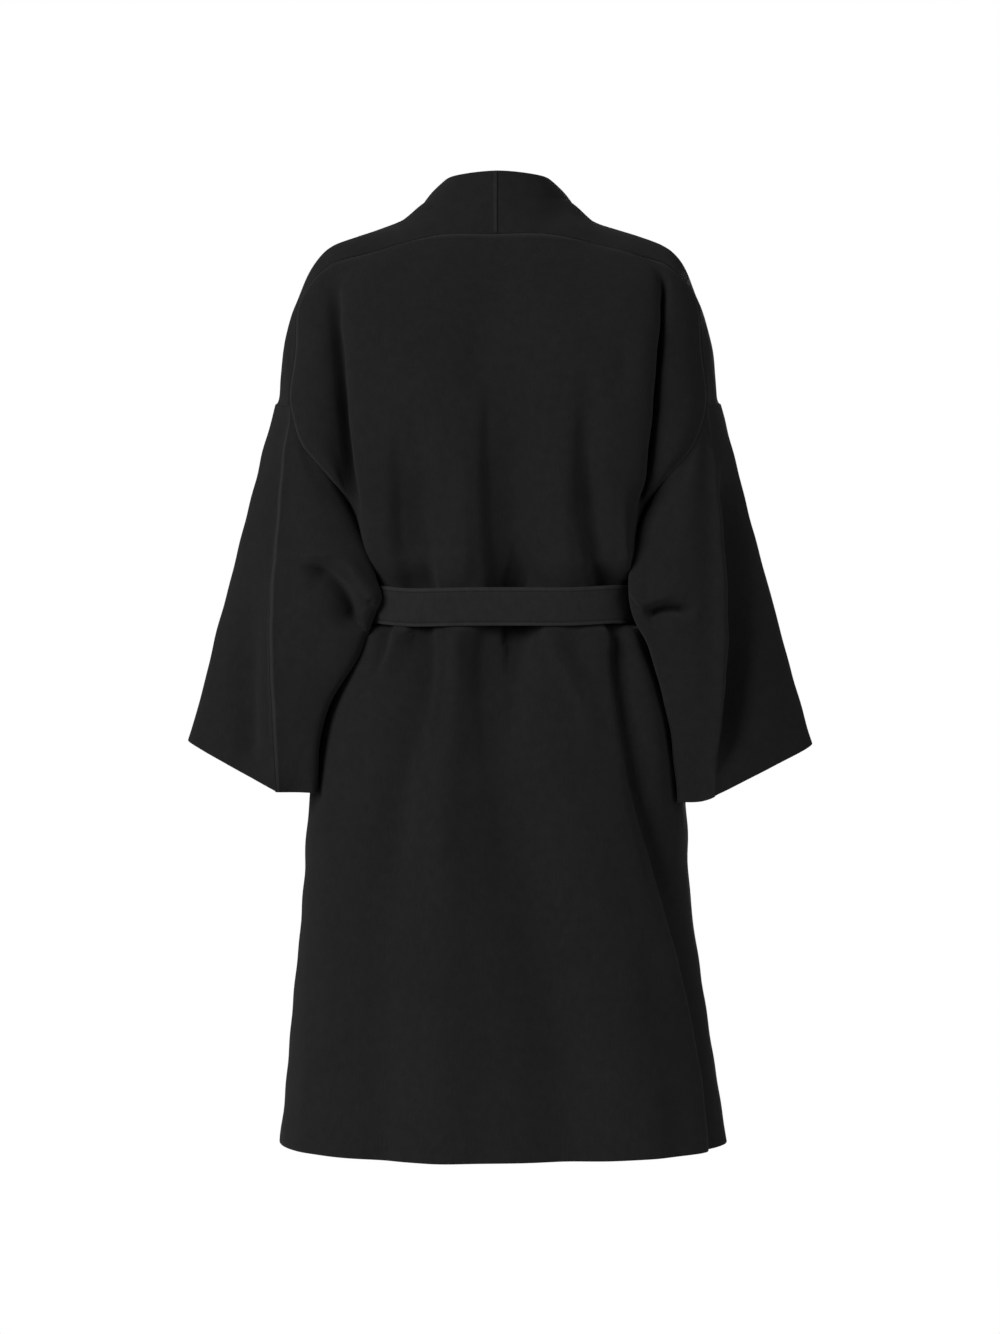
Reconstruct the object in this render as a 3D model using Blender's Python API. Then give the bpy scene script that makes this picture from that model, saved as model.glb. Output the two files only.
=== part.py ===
"""Belted wrap coat of black double-faced wool, in the shape it has when worn, hollow and open.

Metres, +Z up. The back of the coat faces -Y and the wearer's right is +X. The origin lies on the
centre line, at the height of the neck seam and at the depth of the shoulder line.
"""

import math

import bmesh
import bpy
import numpy as np

# Driving dimensions.
CLOTH = 0.003  # wall of the double-faced cloth
THINNEST = 0.0012  # wall inside the tightest bends
SEAM_GAP = 0.0003  # clearance between two pieces along a seam
LAYER_IN = 0.0075  # the left front lies this far inside the right one where they cross
LAYER_OUT = 0.009  # the right front rises this far over the left lapel
BREAK_IN = 0.008  # the left front goes in this much more where its lapel starts to turn
LAPEL_LIFT = 0.0075  # height of the lapel's roll over the front it lies on
LAPEL_REST = 0.0045  # height of the lapel's edge over the front it lies on

BELT_WIDTH = 0.042
BELT_THICK = 0.005
BELT_CLEAR = 0.0014
BELT_HEIGHT = -0.407
BELT_DROOP = 0.006  # the band sags this much at the centre back
BELT_END = 0.34  # length of each hanging end
KNOT_WIDTH = 0.052
KNOT_HEIGHT = 0.054
KNOT_DEPTH = 0.026
KNOT_SHARES = (-1, -0.9, -0.6, 0, 0.6, 0.9, 1)  # sections of the knot across its half width
KNOT_ROUND = 0.7  # 1 makes its sections elliptical, less makes them squarer
KNOT_GAP = 0.0006  # clearance between the knot's underside and the hanging ends
KNOT_TAPER = 0.30  # a section at the side of the knot is this much smaller

# Body sections from the hem to just above the belt. Columns: height, half width left, half width
# right, depth of the back, depth of the front, sag at the centre back, front edge past the centre,
# squareness (below 1 a section is fuller at its corners than an ellipse).
BODY = {
    "hem": (-1.011, 0.2460, 0.2580, 0.170, 0.165, 0.000, 0.085, 0.90),
    "knee": (-0.860, 0.2315, 0.2345, 0.163, 0.158, 0.000, 0.085, 0.90),
    "thigh": (-0.720, 0.2190, 0.2155, 0.155, 0.151, 0.000, 0.084, 0.90),
    "seat": (-0.610, 0.2070, 0.2060, 0.147, 0.144, 0.000, 0.083, 0.90),
    "hip": (-0.520, 0.1850, 0.1850, 0.140, 0.137, 0.002, 0.081, 0.88),
    "under_belt": (-0.465, 0.1630, 0.1630, 0.132, 0.129, 0.004, 0.078, 0.86),
    "belt_low": (-0.431, 0.1500, 0.1500, 0.125, 0.122, 0.006, 0.076, 0.85),
    "belt_high": (-0.383, 0.1490, 0.1490, 0.125, 0.122, 0.006, 0.072, 0.84),
    "over_belt": (-0.357, 0.1520, 0.1520, 0.131, 0.128, 0.007, 0.066, 0.80),
}
BACK_ANGLES = (0, 30, 52, 66, 78, 90)  # degrees from the centre back to the side seam
FRONT_SHARES = (0, 0.12, 0.25, 0.42, 0.66, 1)  # shares of the way from side seam to front edge

# Upper back, right half. A row for each section; the columns are the named lines that run down the
# back, each as (across, back to front, up).
# centre, quarter, edge of the back, crease beside the arm, back of the arm, seam
UPPER_BACK = {
    "armpit": (
        (0, -0.134, -0.340), (0.086, -0.122, -0.339), (0.128, -0.096, -0.337),
        (0.145, -0.068, -0.335), (0.152, -0.038, -0.334), (0.155, 0, -0.333),
    ),
    "low_armhole": (
        (0, -0.136, -0.309), (0.085, -0.127, -0.308), (0.136, -0.104, -0.305),
        (0.152, -0.082, -0.303), (0.159, -0.071, -0.300), (0.166, -0.062, -0.297),
    ),
    "mid_armhole": (
        (0, -0.137, -0.277), (0.085, -0.132, -0.276), (0.143, -0.111, -0.273),
        (0.163, -0.074, -0.270), (0.175, -0.077, -0.269), (0.187, -0.083, -0.268),
    ),
    "high_armhole": (
        (0, -0.137, -0.250), (0.087, -0.135, -0.247), (0.147, -0.114, -0.241),
        (0.166, -0.076, -0.238), (0.189, -0.088, -0.235), (0.2155, -0.073, -0.232),
    ),
    "junction": (
        (0, -0.136, -0.222), (0.088, -0.136, -0.217), (0.150, -0.115, -0.208),
        (0.1685, -0.080, -0.204), (0.199, -0.088, -0.197), (0.2288, -0.047, -0.1856),
    ),
    "upper_arm": (
        (0, -0.122, -0.110), (0.085, -0.127, -0.105), (0.150, -0.111, -0.094),
        (0.176, -0.090, -0.087), (0.200, -0.072, -0.078), (0.2175, -0.033, -0.0632),
    ),
    "shoulder": (
        (0, -0.084, 0), (0.0674, -0.080, -0.0006), (0.1008, -0.072, -0.0074),
        (0.123, -0.068, -0.0135), (0.152, -0.061, -0.0205), (0.1825, -0.055, -0.0272),
    ),
}

# Upper front, right half. The rows go up to the shoulder, then round the neck to the centre back.
# seam, outside of the arm, front of the arm, crease beside the arm, chest, roll of the lapel
UPPER_FRONT = {
    "armpit": (
        (0.155, 0, -0.333), (0.153, 0.036, -0.332), (0.145, 0.066, -0.330),
        (0.123, 0.096, -0.327), (0.070, 0.124, -0.318), (-0.045, 0.132, -0.312),
    ),
    "low_armhole": (
        (0.174, 0.058, -0.292), (0.168, 0.068, -0.292), (0.158, 0.085, -0.292),
        (0.136, 0.104, -0.290), (0.075, 0.131, -0.278), (-0.022, 0.141, -0.262),
    ),
    "mid_armhole": (
        (0.220, 0.066, -0.237), (0.203, 0.079, -0.238), (0.179, 0.080, -0.240),
        (0.156, 0.087, -0.240), (0.090, 0.132, -0.228), (0.003, 0.147, -0.212),
    ),
    "high_armhole": (
        (0.2520, 0.012, -0.183), (0.243, 0.044, -0.183), (0.208, 0.076, -0.184),
        (0.170, 0.066, -0.184), (0.105, 0.118, -0.175), (0.026, 0.140, -0.163),
    ),
    "junction": (
        (0.2288, -0.047, -0.1856), (0.2490, 0, -0.157), (0.213, 0.068, -0.143),
        (0.172, 0.066, -0.147), (0.110, 0.108, -0.135), (0.046, 0.129, -0.120),
    ),
    "upper_arm": (
        (0.2175, -0.033, -0.0632), (0.2320, 0.006, -0.075), (0.204, 0.056, -0.085),
        (0.168, 0.068, -0.086), (0.115, 0.092, -0.078), (0.066, 0.109, -0.070),
    ),
    "shoulder": (
        (0.1825, -0.055, -0.0272), (0.193, -0.012, -0.0085), (0.176, 0.034, -0.021),
        (0.148, 0.055, -0.027), (0.114, 0.070, -0.024), (0.083, 0.083, -0.019),
    ),
    "mid_shoulder": (
        (0.152, -0.061, -0.0205), (0.158, -0.028, 0.004), (0.152, 0.010, 0.0065),
        (0.136, 0.036, 0.001), (0.114, 0.053, 0.003), (0.090, 0.067, 0.008),
    ),
    "neck_side": (
        (0.1008, -0.072, -0.0074), (0.110, -0.040, 0.013), (0.115, -0.008, 0.0215),
        (0.113, 0.016, 0.0225), (0.105, 0.033, 0.0265), (0.093, 0.046, 0.033),
    ),
    "neck_turn": (
        (0.0845, -0.0765, -0.004), (0.0945, -0.053, 0.013), (0.101, -0.0285, 0.0235),
        (0.102, -0.007, 0.029), (0.0975, 0.011, 0.035), (0.0895, 0.025, 0.041),
    ),
    "neck_corner": (
        (0.0674, -0.080, -0.0006), (0.076, -0.065, 0.013), (0.0825, -0.048, 0.0245),
        (0.086, -0.030, 0.034), (0.086, -0.012, 0.0415), (0.0825, 0.003, 0.047),
    ),
    "neck_back": (
        (0.0404, -0.0826, 0), (0.0455, -0.0775, 0.0085), (0.049, -0.072, 0.017),
        (0.051, -0.067, 0.0255), (0.052, -0.0625, 0.034), (0.0515, -0.0585, 0.042),
    ),
    "centre_back": (
        (0, -0.084, 0), (0, -0.0828, 0.008), (0, -0.0815, 0.016),
        (0, -0.080, 0.024), (0, -0.0785, 0.032), (0, -0.077, 0.040),
    ),
}

# The strip past the roll. Columns: width, angle that it turns back through.
LAPEL = {
    "over_belt": (0.012, 60),
    "armpit": (0.022, 180),
    "low_armhole": (0.048, 180),
    "mid_armhole": (0.070, 180),
    "high_armhole": (0.086, 180),
    "junction": (0.090, 180),
    "upper_arm": (0.081, 180),
    "shoulder": (0.056, 170),
}
EDGE_STRIP = 0.012  # width of the flat strip along the front edge below the belt
STRIP_SHARES = (0.06, 0.3, 0.65, 1.0)
# The collar round the neck, where the strip stands up. A row for each section, from the roll out.
COLLAR = {
    "mid_shoulder": (
        (0.0915, 0.0745, 0.014), (0.0975, 0.0835, 0.019), (0.105, 0.091, 0.0205),
        (0.112, 0.097, 0.019),
    ),
    "neck_side": (
        (0.0915, 0.053, 0.0395), (0.088, 0.061, 0.045), (0.0835, 0.070, 0.049),
        (0.080, 0.080, 0.050),
    ),
    "neck_turn": (
        (0.0860, 0.031, 0.048), (0.0815, 0.036, 0.054), (0.0760, 0.041, 0.0585),
        (0.0715, 0.045, 0.062),
    ),
    "neck_corner": (
        (0.078, 0.0045, 0.0545), (0.073, 0.006, 0.061), (0.0680, 0.007, 0.066),
        (0.0630, 0.008, 0.070),
    ),
    "neck_back": (
        (0.0495, -0.057, 0.050), (0.047, -0.0555, 0.0575), (0.044, -0.054, 0.0645),
        (0.041, -0.052, 0.0715),
    ),
    "centre_back": (
        (0, -0.0755, 0.048), (0, -0.074, 0.056), (0, -0.0725, 0.064),
        (0, -0.071, 0.0725),
    ),
}

# Right sleeve below the armhole. A row for each ring; the columns are the lines down the sleeve.
# overarm ridge, back, inner edge, inner side, underarm seam, front, outer edge
SLEEVE = {
    "upper": (
        (0.2395, -0.075, -0.2933), (0.203, -0.103, -0.318), (0.162, -0.078, -0.335),
        (0.166, -0.030, -0.352), (0.174, 0.012, -0.362), (0.222, 0.074, -0.325), (0.2712, 0, -0.2554),
    ),
    "above_elbow": (
        (0.2457, -0.090, -0.382), (0.198, -0.114, -0.392), (0.151, -0.090, -0.3984),
        (0.167, -0.035, -0.405), (0.178, 0.012, -0.410), (0.236, 0.080, -0.390), (0.2915, 0.002, -0.340),
    ),
    "elbow": (
        (0.2468, -0.095, -0.4593), (0.207, -0.110, -0.461), (0.166, -0.084, -0.4592),
        (0.176, -0.035, -0.464), (0.187, 0.012, -0.468), (0.252, 0.083, -0.455), (0.312, 0.004, -0.419),
    ),
    "forearm": (
        (0.2445, -0.095, -0.5363), (0.217, -0.098, -0.538), (0.190, -0.072, -0.5367),
        (0.197, -0.030, -0.540), (0.209, 0.012, -0.541), (0.268, 0.083, -0.525), (0.330, 0.006, -0.4927),
    ),
    "cuff": (
        (0.2390, -0.090, -0.617), (0.223, -0.083, -0.620), (0.206, -0.060, -0.6205),
        (0.212, -0.025, -0.620), (0.228, 0.014, -0.617), (0.284, 0.080, -0.592), (0.349, 0.008, -0.5605),
    ),
}

# How far each sleeve's ridge and its outer edge are let out at the cuff, as (across, up).
SLEEVE_REACH = {
    "left": ((0.0045, 0.001), (0.001, -0.001)),
    "right": ((-0.002, -0.002), (0.006, -0.0045)),
}

# Folds, as they lie in a view from the back (face -1) or from the front (face 1).
# Columns: piece group, face, start, middle, end as (across, up), spread to the left, spread to the
# right, rise at the start, rise at the end (a trough is negative), fade at the start, at the end.
FOLDS = (
    (
        "body", -1, (-0.013, -0.402), (-0.016, -0.300), (-0.010, -0.180),
        0.014, 0.016, -0.010, -0.003, 0, 0.5,
    ),
    (
        "body", -1, (0.112, -0.402), (0.092, -0.290), (0.094, -0.190),
        0.014, 0.016, -0.016, -0.004, 0, 0.5,
    ),
    (
        "body", -1, (-0.116, -0.402), (-0.114, -0.360), (-0.112, -0.320),
        0.012, 0.012, -0.010, -0.002, 0, 0.5,
    ),
    (
        "body", -1, (-0.021, -0.415), (-0.030, -0.480), (-0.010, -0.680),
        0.013, 0.022, -0.016, -0.006, 0, 0.5,
    ),
    (
        "body", -1, (0.020, -0.415), (0.026, -0.470), (0.030, -0.540),
        0.018, 0.018, -0.012, -0.002, 0, 0.5,
    ),
    (
        "body", -1, (-0.085, -0.415), (-0.070, -0.480), (-0.078, -0.570),
        0.015, 0.018, -0.012, -0.002, 0, 0.5,
    ),
    (
        "body", -1, (0.124, -0.415), (0.160, -0.640), (0.224, -0.990),
        0.013, 0.026, -0.022, -0.012, 0, 0.1,
    ),
    (
        "body", -1, (-0.128, -0.415), (-0.150, -0.470), (-0.178, -0.560),
        0.014, 0.018, -0.014, -0.004, 0, 0.4,
    ),
    (
        "body", 1, (0.116, -0.415), (0.134, -0.540), (0.150, -0.800),
        0.016, 0.022, -0.014, -0.004, 0, 0.5,
    ),
    (
        "body", 1, (-0.118, -0.415), (-0.134, -0.540), (-0.150, -0.780),
        0.018, 0.018, -0.014, -0.004, 0, 0.5,
    ),
    (
        "body", 1, (0.116, -0.402), (0.108, -0.330), (0.100, -0.240),
        0.015, 0.016, -0.009, -0.002, 0, 0.5,
    ),
    (
        "body", 1, (-0.114, -0.402), (-0.108, -0.330), (-0.100, -0.250),
        0.015, 0.016, -0.010, -0.002, 0, 0.5,
    ),
    (
        "left", -1, (-0.232, -0.372), (-0.185, -0.374), (-0.155, -0.418),
        0.012, 0.012, -0.004, -0.012, 0.3, 0,
    ),
    (
        "left", -1, (-0.268, -0.330), (-0.285, -0.460), (-0.290, -0.560),
        0.018, 0.018, -0.004, -0.010, 0.4, 0.2,
    ),
    (
        "right", -1, (0.158, -0.410), (0.190, -0.412), (0.222, -0.404),
        0.012, 0.012, -0.012, -0.004, 0, 0.4,
    ),
    (
        "right", -1, (0.262, -0.300), (0.272, -0.430), (0.262, -0.590),
        0.012, 0.018, -0.010, -0.020, 0.4, 0.2,
    ),
)

# Steps between the named sections and lines.
BODY_STEPS = (3, 2, 2, 2, 2, 2, 2, 1, 2)
WAIST_ROW = sum(BODY_STEPS[:6]) + 1  # row under the middle of the belt, where a panel is divided
ARMHOLE_STEPS = (2, 2, 2, 3)
SHOULDER_STEPS = (3, 3)
BACK_STEPS = (5, 4, 2, 2, 2)  # from the centre out
FRONT_STEPS = (2, 2, 2, 3, 4)
SLEEVE_BACK_STEPS = (3, 3, 2, 1)
SLEEVE_FRONT_STEPS = (3, 3, 3)
SLEEVE_STEPS = (4, 4, 4, 4, 4)

COLOURS = {
    "body": (0.014, 0.014, 0.015, 1),
    "sleeve": (0.015, 0.015, 0.016, 1),
    "belt": (0.012, 0.012, 0.013, 1),
}


def smooth(value):
    """Soft step from 0 to 1."""
    held = np.clip(value, 0, 1)
    return held * held * (3 - 2 * held)


def unit(vectors):
    return vectors / np.maximum(np.linalg.norm(vectors, axis=-1, keepdims=True), 1e-9)


def mirrored(points):
    return np.asarray(points, float) * (-1, 1, 1)


def spline(stations, steps):
    """Smooth curves through the stations along the first axis, with the steps given for each span."""
    spans = np.diff(stations, axis=0)
    lengths = np.linalg.norm(spans, axis=-1, keepdims=True) + 1e-5
    slopes = spans / lengths
    tangents = np.empty_like(stations)
    weights = lengths[:-1] + lengths[1:]
    tangents[1:-1] = (slopes[:-1] * lengths[1:] + slopes[1:] * lengths[:-1]) / weights
    tangents[0] = 1.5 * slopes[0] - 0.5 * tangents[1]
    tangents[-1] = 1.5 * slopes[-1] - 0.5 * tangents[-2]
    rows = []
    for index, count in enumerate(steps):
        for step in range(count):
            t = step / count
            rows.append(
                (1 + 2 * t) * (1 - t) ** 2 * stations[index]
                + t * (1 - t) ** 2 * lengths[index] * tangents[index]
                + t * t * (3 - 2 * t) * stations[index + 1]
                + t * t * (t - 1) * lengths[index] * tangents[index + 1]
            )
    rows.append(stations[-1])
    return np.array(rows)


def lofted(net, row_steps, column_steps):
    """Grid of points on the smooth surface through a net of named sections and lines."""
    rows = spline(np.asarray(net, float), row_steps)
    return spline(rows.transpose(1, 0, 2), column_steps).transpose(1, 0, 2)


def body_point(section, angle, side):
    """Point of a body section, at an angle from the centre back towards a side (1 right, -1 left)."""
    height, left, right, back, front, sag, _, squareness = BODY[section]
    across = math.sin(math.radians(angle))
    behind = math.cos(math.radians(angle))
    half = (right if side > 0 else left) if across >= 0 else (left if side > 0 else right)
    depth = back if behind >= 0 else front
    return (
        side * half * math.copysign(abs(across) ** squareness, across),
        -depth * math.copysign(abs(behind) ** squareness, behind),
        height - sag * max(behind, 0) ** 2,
    )


def back_net():
    net = []
    for section in BODY:
        left = [body_point(section, angle, -1) for angle in BACK_ANGLES[:0:-1]]
        net.append(left + [body_point(section, angle, 1) for angle in BACK_ANGLES])
    for row in UPPER_BACK.values():
        net.append([mirrored(point) for point in row[:0:-1]] + list(row))
    return net


def past_roll(line, width, angle):
    """Strip past the roll: it goes straight on, stands out or turns back over the front."""
    roll = line[-1]
    ahead = unit(line[-1] - line[-2])
    upward = np.array((0, 0, 1.0))
    outward = unit(np.cross(ahead, upward))
    outward = outward * np.sign(outward[1])
    turn = math.radians(min(angle, 120))
    heading = ahead * math.cos(turn) + outward * math.sin(turn)
    free = np.array([roll + heading * width * share for share in STRIP_SHARES])
    back_along = np.cumsum([0, *np.linalg.norm(np.diff(line[::-1], axis=0), axis=1)])
    laid = []
    for share in STRIP_SHARES:
        place, beyond = (
            np.array([np.interp(reach, back_along, line[::-1, axis]) for axis in range(3)])
            for reach in (width * share, width * share + 0.006)
        )
        out = unit(np.cross(place - beyond, upward))
        rise = LAPEL_LIFT + (LAPEL_REST - LAPEL_LIFT) * smooth(share)
        laid.append(place + out * np.sign(out[1]) * rise)
    laid[0] = roll + (ahead + outward) * LAPEL_LIFT / 2
    lie = smooth((angle - 60) / 120)
    return free + (np.array(laid) - free) * lie


def front_net(side):
    """Net of one front up to the roll, from the hem over the shoulder and round to the centre back."""
    net = []
    for section, row in BODY.items():
        past = past_centre(section, row[6], side)
        angles = [90 + share * (90 + past) for share in FRONT_SHARES]
        net.append(np.array([body_point(section, angle, side) for angle in angles]) * (side, 1, 1))
    net += list(UPPER_FRONT.values())
    net.append(mirrored(net[-2]))
    return np.array(net, float)


def past_centre(section, reach, side):
    """Angle past the centre front at which a front reaches so far over to the other side."""
    _, left, right, *_, squareness = BODY[section]
    half = left if side > 0 else right
    return math.degrees(math.asin((reach / half) ** (1 / squareness)))


def edge_strip(panel, row_steps, side):
    """Strip past the roll, row by row: flat edge, then lapel, then the collar round the neck."""
    sections = [*BODY, *UPPER_FRONT]
    places = dict(zip(sections, np.cumsum((0,) + row_steps)))
    flat = []
    for section in sections[: sections.index("over_belt")]:
        reaches = [BODY[section][6] + EDGE_STRIP * share for share in STRIP_SHARES]
        angles = [180 + past_centre(section, reach, side) for reach in reaches]
        flat.append(np.array([body_point(section, angle, side) for angle in angles]) * (side, 1, 1))
    rows = list(spline(np.array(flat), row_steps[: len(flat) - 1]))
    turned = [places[section] for section in LAPEL]
    widths, angles = zip(*LAPEL.values())
    for index in range(len(rows), places["shoulder"] + 1):
        width = np.interp(index, turned, widths)
        angle = np.interp(index, turned, angles)
        rows.append(past_roll(panel[index], width, angle))
    stations = [rows[places["upper_arm"]], rows[-1], *COLLAR.values()]
    stations.append(mirrored(stations[-2]))
    first = sections.index("upper_arm")
    ring = spline(np.array(stations, float), row_steps[first:])
    return np.array(rows + list(ring[row_steps[first] + 1 :]))


def normals(grid, facing):
    """Outward normals, halfway between the cells on both sides of each point."""
    tangents = []
    for lines in (grid, grid.swapaxes(0, 1)):
        steps = unit(np.diff(lines, axis=0))
        tangents.append(np.concatenate([steps[:1], steps[1:] + steps[:-1], steps[-1:]]))
    down, over = tangents
    return unit(np.cross(unit(over.swapaxes(0, 1)), unit(down))) * facing


def folded(grid, facing, group):
    """Grid with the folds of its group pressed in or raised along its normals."""
    outward = normals(grid, facing)
    rise = np.zeros(grid.shape[:2])
    flat = grid[..., (0, 2)]
    for fold_group, face, *points, left, right, first, last, fade_in, fade_out in FOLDS:
        if fold_group != group:
            continue
        path = spline(np.array(points, float)[:, None, :], (10, 10))[:, 0]
        away = flat[:, :, None, :] - path
        distance = np.linalg.norm(away, axis=-1)
        nearest = distance.argmin(axis=-1)
        along = nearest / (len(path) - 1)
        heading = unit(np.gradient(path, axis=0))[nearest]
        offset = np.take_along_axis(away, nearest[..., None, None], axis=2)[:, :, 0]
        across = -heading[..., 1] * offset[..., 0] + heading[..., 0] * offset[..., 1]
        spread = np.where(across < 0, left, right)
        weight = np.exp(-((distance.min(axis=-1) / spread) ** 2))
        if fade_in:
            weight = weight * smooth(along / fade_in)
        if fade_out:
            weight = weight * smooth((1 - along) / fade_out)
        weight = weight * smooth(outward[..., 1] * face * 2.5)
        rise += weight * (first + (last - first) * along)
    return grid + outward * rise[..., None]


def layered(grid, side):
    """Fronts set apart where they cross: the left one goes in, the right one rises over its lapel."""
    across, deep, up = grid[..., 0], grid[..., 1], grid[..., 2]
    if side < 0:
        under = smooth((across + 0.13) / 0.05) * smooth((-0.14 - up) / 0.10)
        turn = np.exp(-(((across - 0.055) / 0.05) ** 2) - ((up + 0.340) / 0.05) ** 2)
        shift = -LAYER_IN * under - BREAK_IN * turn
    else:
        shift = LAYER_OUT * smooth((0.11 - np.abs(across)) / 0.05)
        shift = shift * smooth((up + 0.385) / 0.05) * smooth((-0.14 - up) / 0.06)
    moved = grid.copy()
    moved[..., 1] += shift * smooth(deep / 0.05)
    return moved


def body_grids():
    """Outer faces of the back and the two fronts, sharing their points along the seams."""
    row_steps = BODY_STEPS + ARMHOLE_STEPS + SHOULDER_STEPS
    columns = BACK_STEPS[::-1] + BACK_STEPS
    back = folded(lofted(back_net(), row_steps, columns), 1, "body")
    round_neck = (BACK_STEPS[4], BACK_STEPS[3] + BACK_STEPS[2])
    for steps in (BACK_STEPS[1], BACK_STEPS[0]):
        round_neck += (steps // 2, steps - steps // 2)
    armpit = sum(BODY_STEPS)
    junction = armpit + sum(ARMHOLE_STEPS)
    top = len(back) - 1
    grids = {"back": back}
    for name, side in (("front_left", -1), ("front_right", 1)):
        all_steps = row_steps + round_neck + (1,)
        panel = lofted(front_net(side), all_steps, FRONT_STEPS)
        if side < 0:
            panel = mirrored(folded(mirrored(panel), side, "body"))
        else:
            panel = folded(panel, side, "body")
        strip = edge_strip(panel, all_steps, side)
        grid = np.concatenate([panel, strip], axis=1)[:-1]
        if side < 0:
            grid = mirrored(grid)
        grid = layered(grid, side)
        edge = -1 if side > 0 else 0
        grid[: armpit + 1, 0] = back[: armpit + 1, edge]
        grid[junction : top + 1, 0] = back[junction:, edge]
        half = len(back[0]) // 2
        yoke = back[-1, half:][::-1] if side > 0 else back[-1, : half + 1]
        grid[top:, 0] = yoke
        grid[-1, :, 0] = 0
        grids[name] = grid
    return grids, armpit, junction


def sleeve_grids(body, armpit, junction):
    """Outer faces of the sleeve halves, starting on the armhole's points."""
    grids = {}
    for name, side, edge in (("left", -1, 0), ("right", 1, -1)):
        rings = []
        for index, row in enumerate(SLEEVE.values()):
            ring = np.array(row)
            for line, (out, up) in zip((0, 6), SLEEVE_REACH[name]):
                ring[line] += np.array((out, 0, up)) * index / (len(SLEEVE) - 1)
            rings.append(ring * (side, 1, 1))
        back_hole = body["back"][armpit : junction + 1, edge][::-1]
        front_hole = body["front_" + name][armpit : junction + 1, 0]
        halves = (
            ("back", back_hole, (0, 1, 2, 3, 4), SLEEVE_BACK_STEPS),
            ("front", front_hole, (4, 5, 6, 0), SLEEVE_FRONT_STEPS),
        )
        for half, hole, lines, ring_steps in halves:
            picks = np.cumsum((0,) + ring_steps)
            net = [hole[picks]] + [ring[list(lines)] for ring in rings]
            grid = lofted(net, SLEEVE_STEPS, ring_steps)
            grid[0] = hole
            grid = folded(grid, side, name)
            grid[0] = hole
            grids[f"sleeve_{half}_{name}"] = grid
        back_half = grids["sleeve_back_" + name]
        front_half = grids["sleeve_front_" + name]
        back_half[:, 0] = front_half[:, -1]
        front_half[:, 0] = back_half[:, -1]
    return grids


def shared_normals(grids, facings):
    """Normals of every grid, made the same for points that two grids share along a seam."""
    found = {name: normals(grid, facings[name]) for name, grid in grids.items()}
    totals = {}
    for name, grid in grids.items():
        for place in rim_places(grid):
            key = tuple(np.round(grid[place], 6) + 0.0)
            totals[key] = totals.get(key, 0) + found[name][place]
    for name, grid in grids.items():
        for place in rim_places(grid):
            found[name][place] = unit(totals[tuple(np.round(grid[place], 6) + 0.0)])
    return found


def inner_face(grid, outward):
    """Inner face of a wall: a cloth's thickness in, less where a tight bend leaves no room."""
    depth = np.full(grid.shape[:2], CLOTH)
    for _ in range(8):
        inner = grid - outward * depth[..., None]
        keep = np.ones_like(depth)
        for axis in (0, 1):
            step = np.diff(grid, axis=axis)
            room = (step * np.diff(inner, axis=axis)).sum(axis=-1) / (step**2).sum(axis=-1)
            part = np.where(room < 0.25, 0.85, 1)
            before = (slice(None, -1), slice(None)) if axis == 0 else (slice(None), slice(None, -1))
            after = (slice(1, None), slice(None)) if axis == 0 else (slice(None), slice(1, None))
            keep[before] = np.minimum(keep[before], part)
            keep[after] = np.minimum(keep[after], part)
        depth = np.maximum(depth * keep, THINNEST)
    return grid - outward * depth[..., None]


def rim_places(grid):
    """Indices of the points round a grid, in order."""
    last_row, last_column = grid.shape[0] - 1, grid.shape[1] - 1
    places = [(0, column) for column in range(last_column)]
    places += [(row, last_column) for row in range(last_row)]
    places += [(last_row, column) for column in range(last_column, 0, -1)]
    places += [(row, 0) for row in range(last_row, 0, -1)]
    return places


def drawn_in(grid):
    """Grid with its four edges drawn in by half the seam clearance."""
    moved = grid.copy()
    half = SEAM_GAP / 2
    moved[0] += unit(grid[1] - grid[0]) * half
    moved[-1] += unit(grid[-2] - grid[-1]) * half
    moved[:, 0] += unit(grid[:, 1] - grid[:, 0]) * half
    moved[:, -1] += unit(grid[:, -2] - grid[:, -1]) * half
    return moved


def add_mesh(name, points, faces, colour):
    mesh = bpy.data.meshes.new(name)
    mesh.from_pydata([tuple(map(float, point)) for point in points], [], faces)
    mesh.update()
    material = bpy.data.materials.new(name + "_wool")
    material.use_nodes = True
    shader = material.node_tree.nodes["Principled BSDF"]
    shader.inputs["Base Color"].default_value = COLOURS[colour]
    shader.inputs["Roughness"].default_value = 0.9
    mesh.materials.append(material)
    made = bpy.data.objects.new(name, mesh)
    bpy.context.scene.collection.objects.link(made)
    return made


def add_wall(name, outer, inner, facing, colour):
    """Closed wall between an outer and an inner grid."""
    rows, columns = outer.shape[:2]
    count = rows * columns
    points = np.concatenate([outer.reshape(-1, 3), inner.reshape(-1, 3)])
    faces = []
    for row in range(rows - 1):
        for column in range(columns - 1):
            a = row * columns + column
            b, c, d = a + 1, a + columns + 1, a + columns
            halves = ((a, b, c), (a, c, d))
            if math.dist(points[b], points[d]) < math.dist(points[a], points[c]):
                halves = ((a, b, d), (b, c, d))
            for half in halves:
                faces += [half, tuple(corner + count for corner in half[::-1])]
    rim = [row * columns + column for row, column in rim_places(outer)]
    for start, end in zip(rim, rim[1:] + rim[:1]):
        low, high = start + count, end + count
        if math.dist(points[start], points[high]) < math.dist(points[end], points[low]):
            faces += [(end, start, high), (start, low, high)]
        else:
            faces += [(end, start, low), (end, low, high)]
    if facing < 0:
        faces = [face[::-1] for face in faces]
    return add_mesh(name, points, faces, colour)


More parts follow.
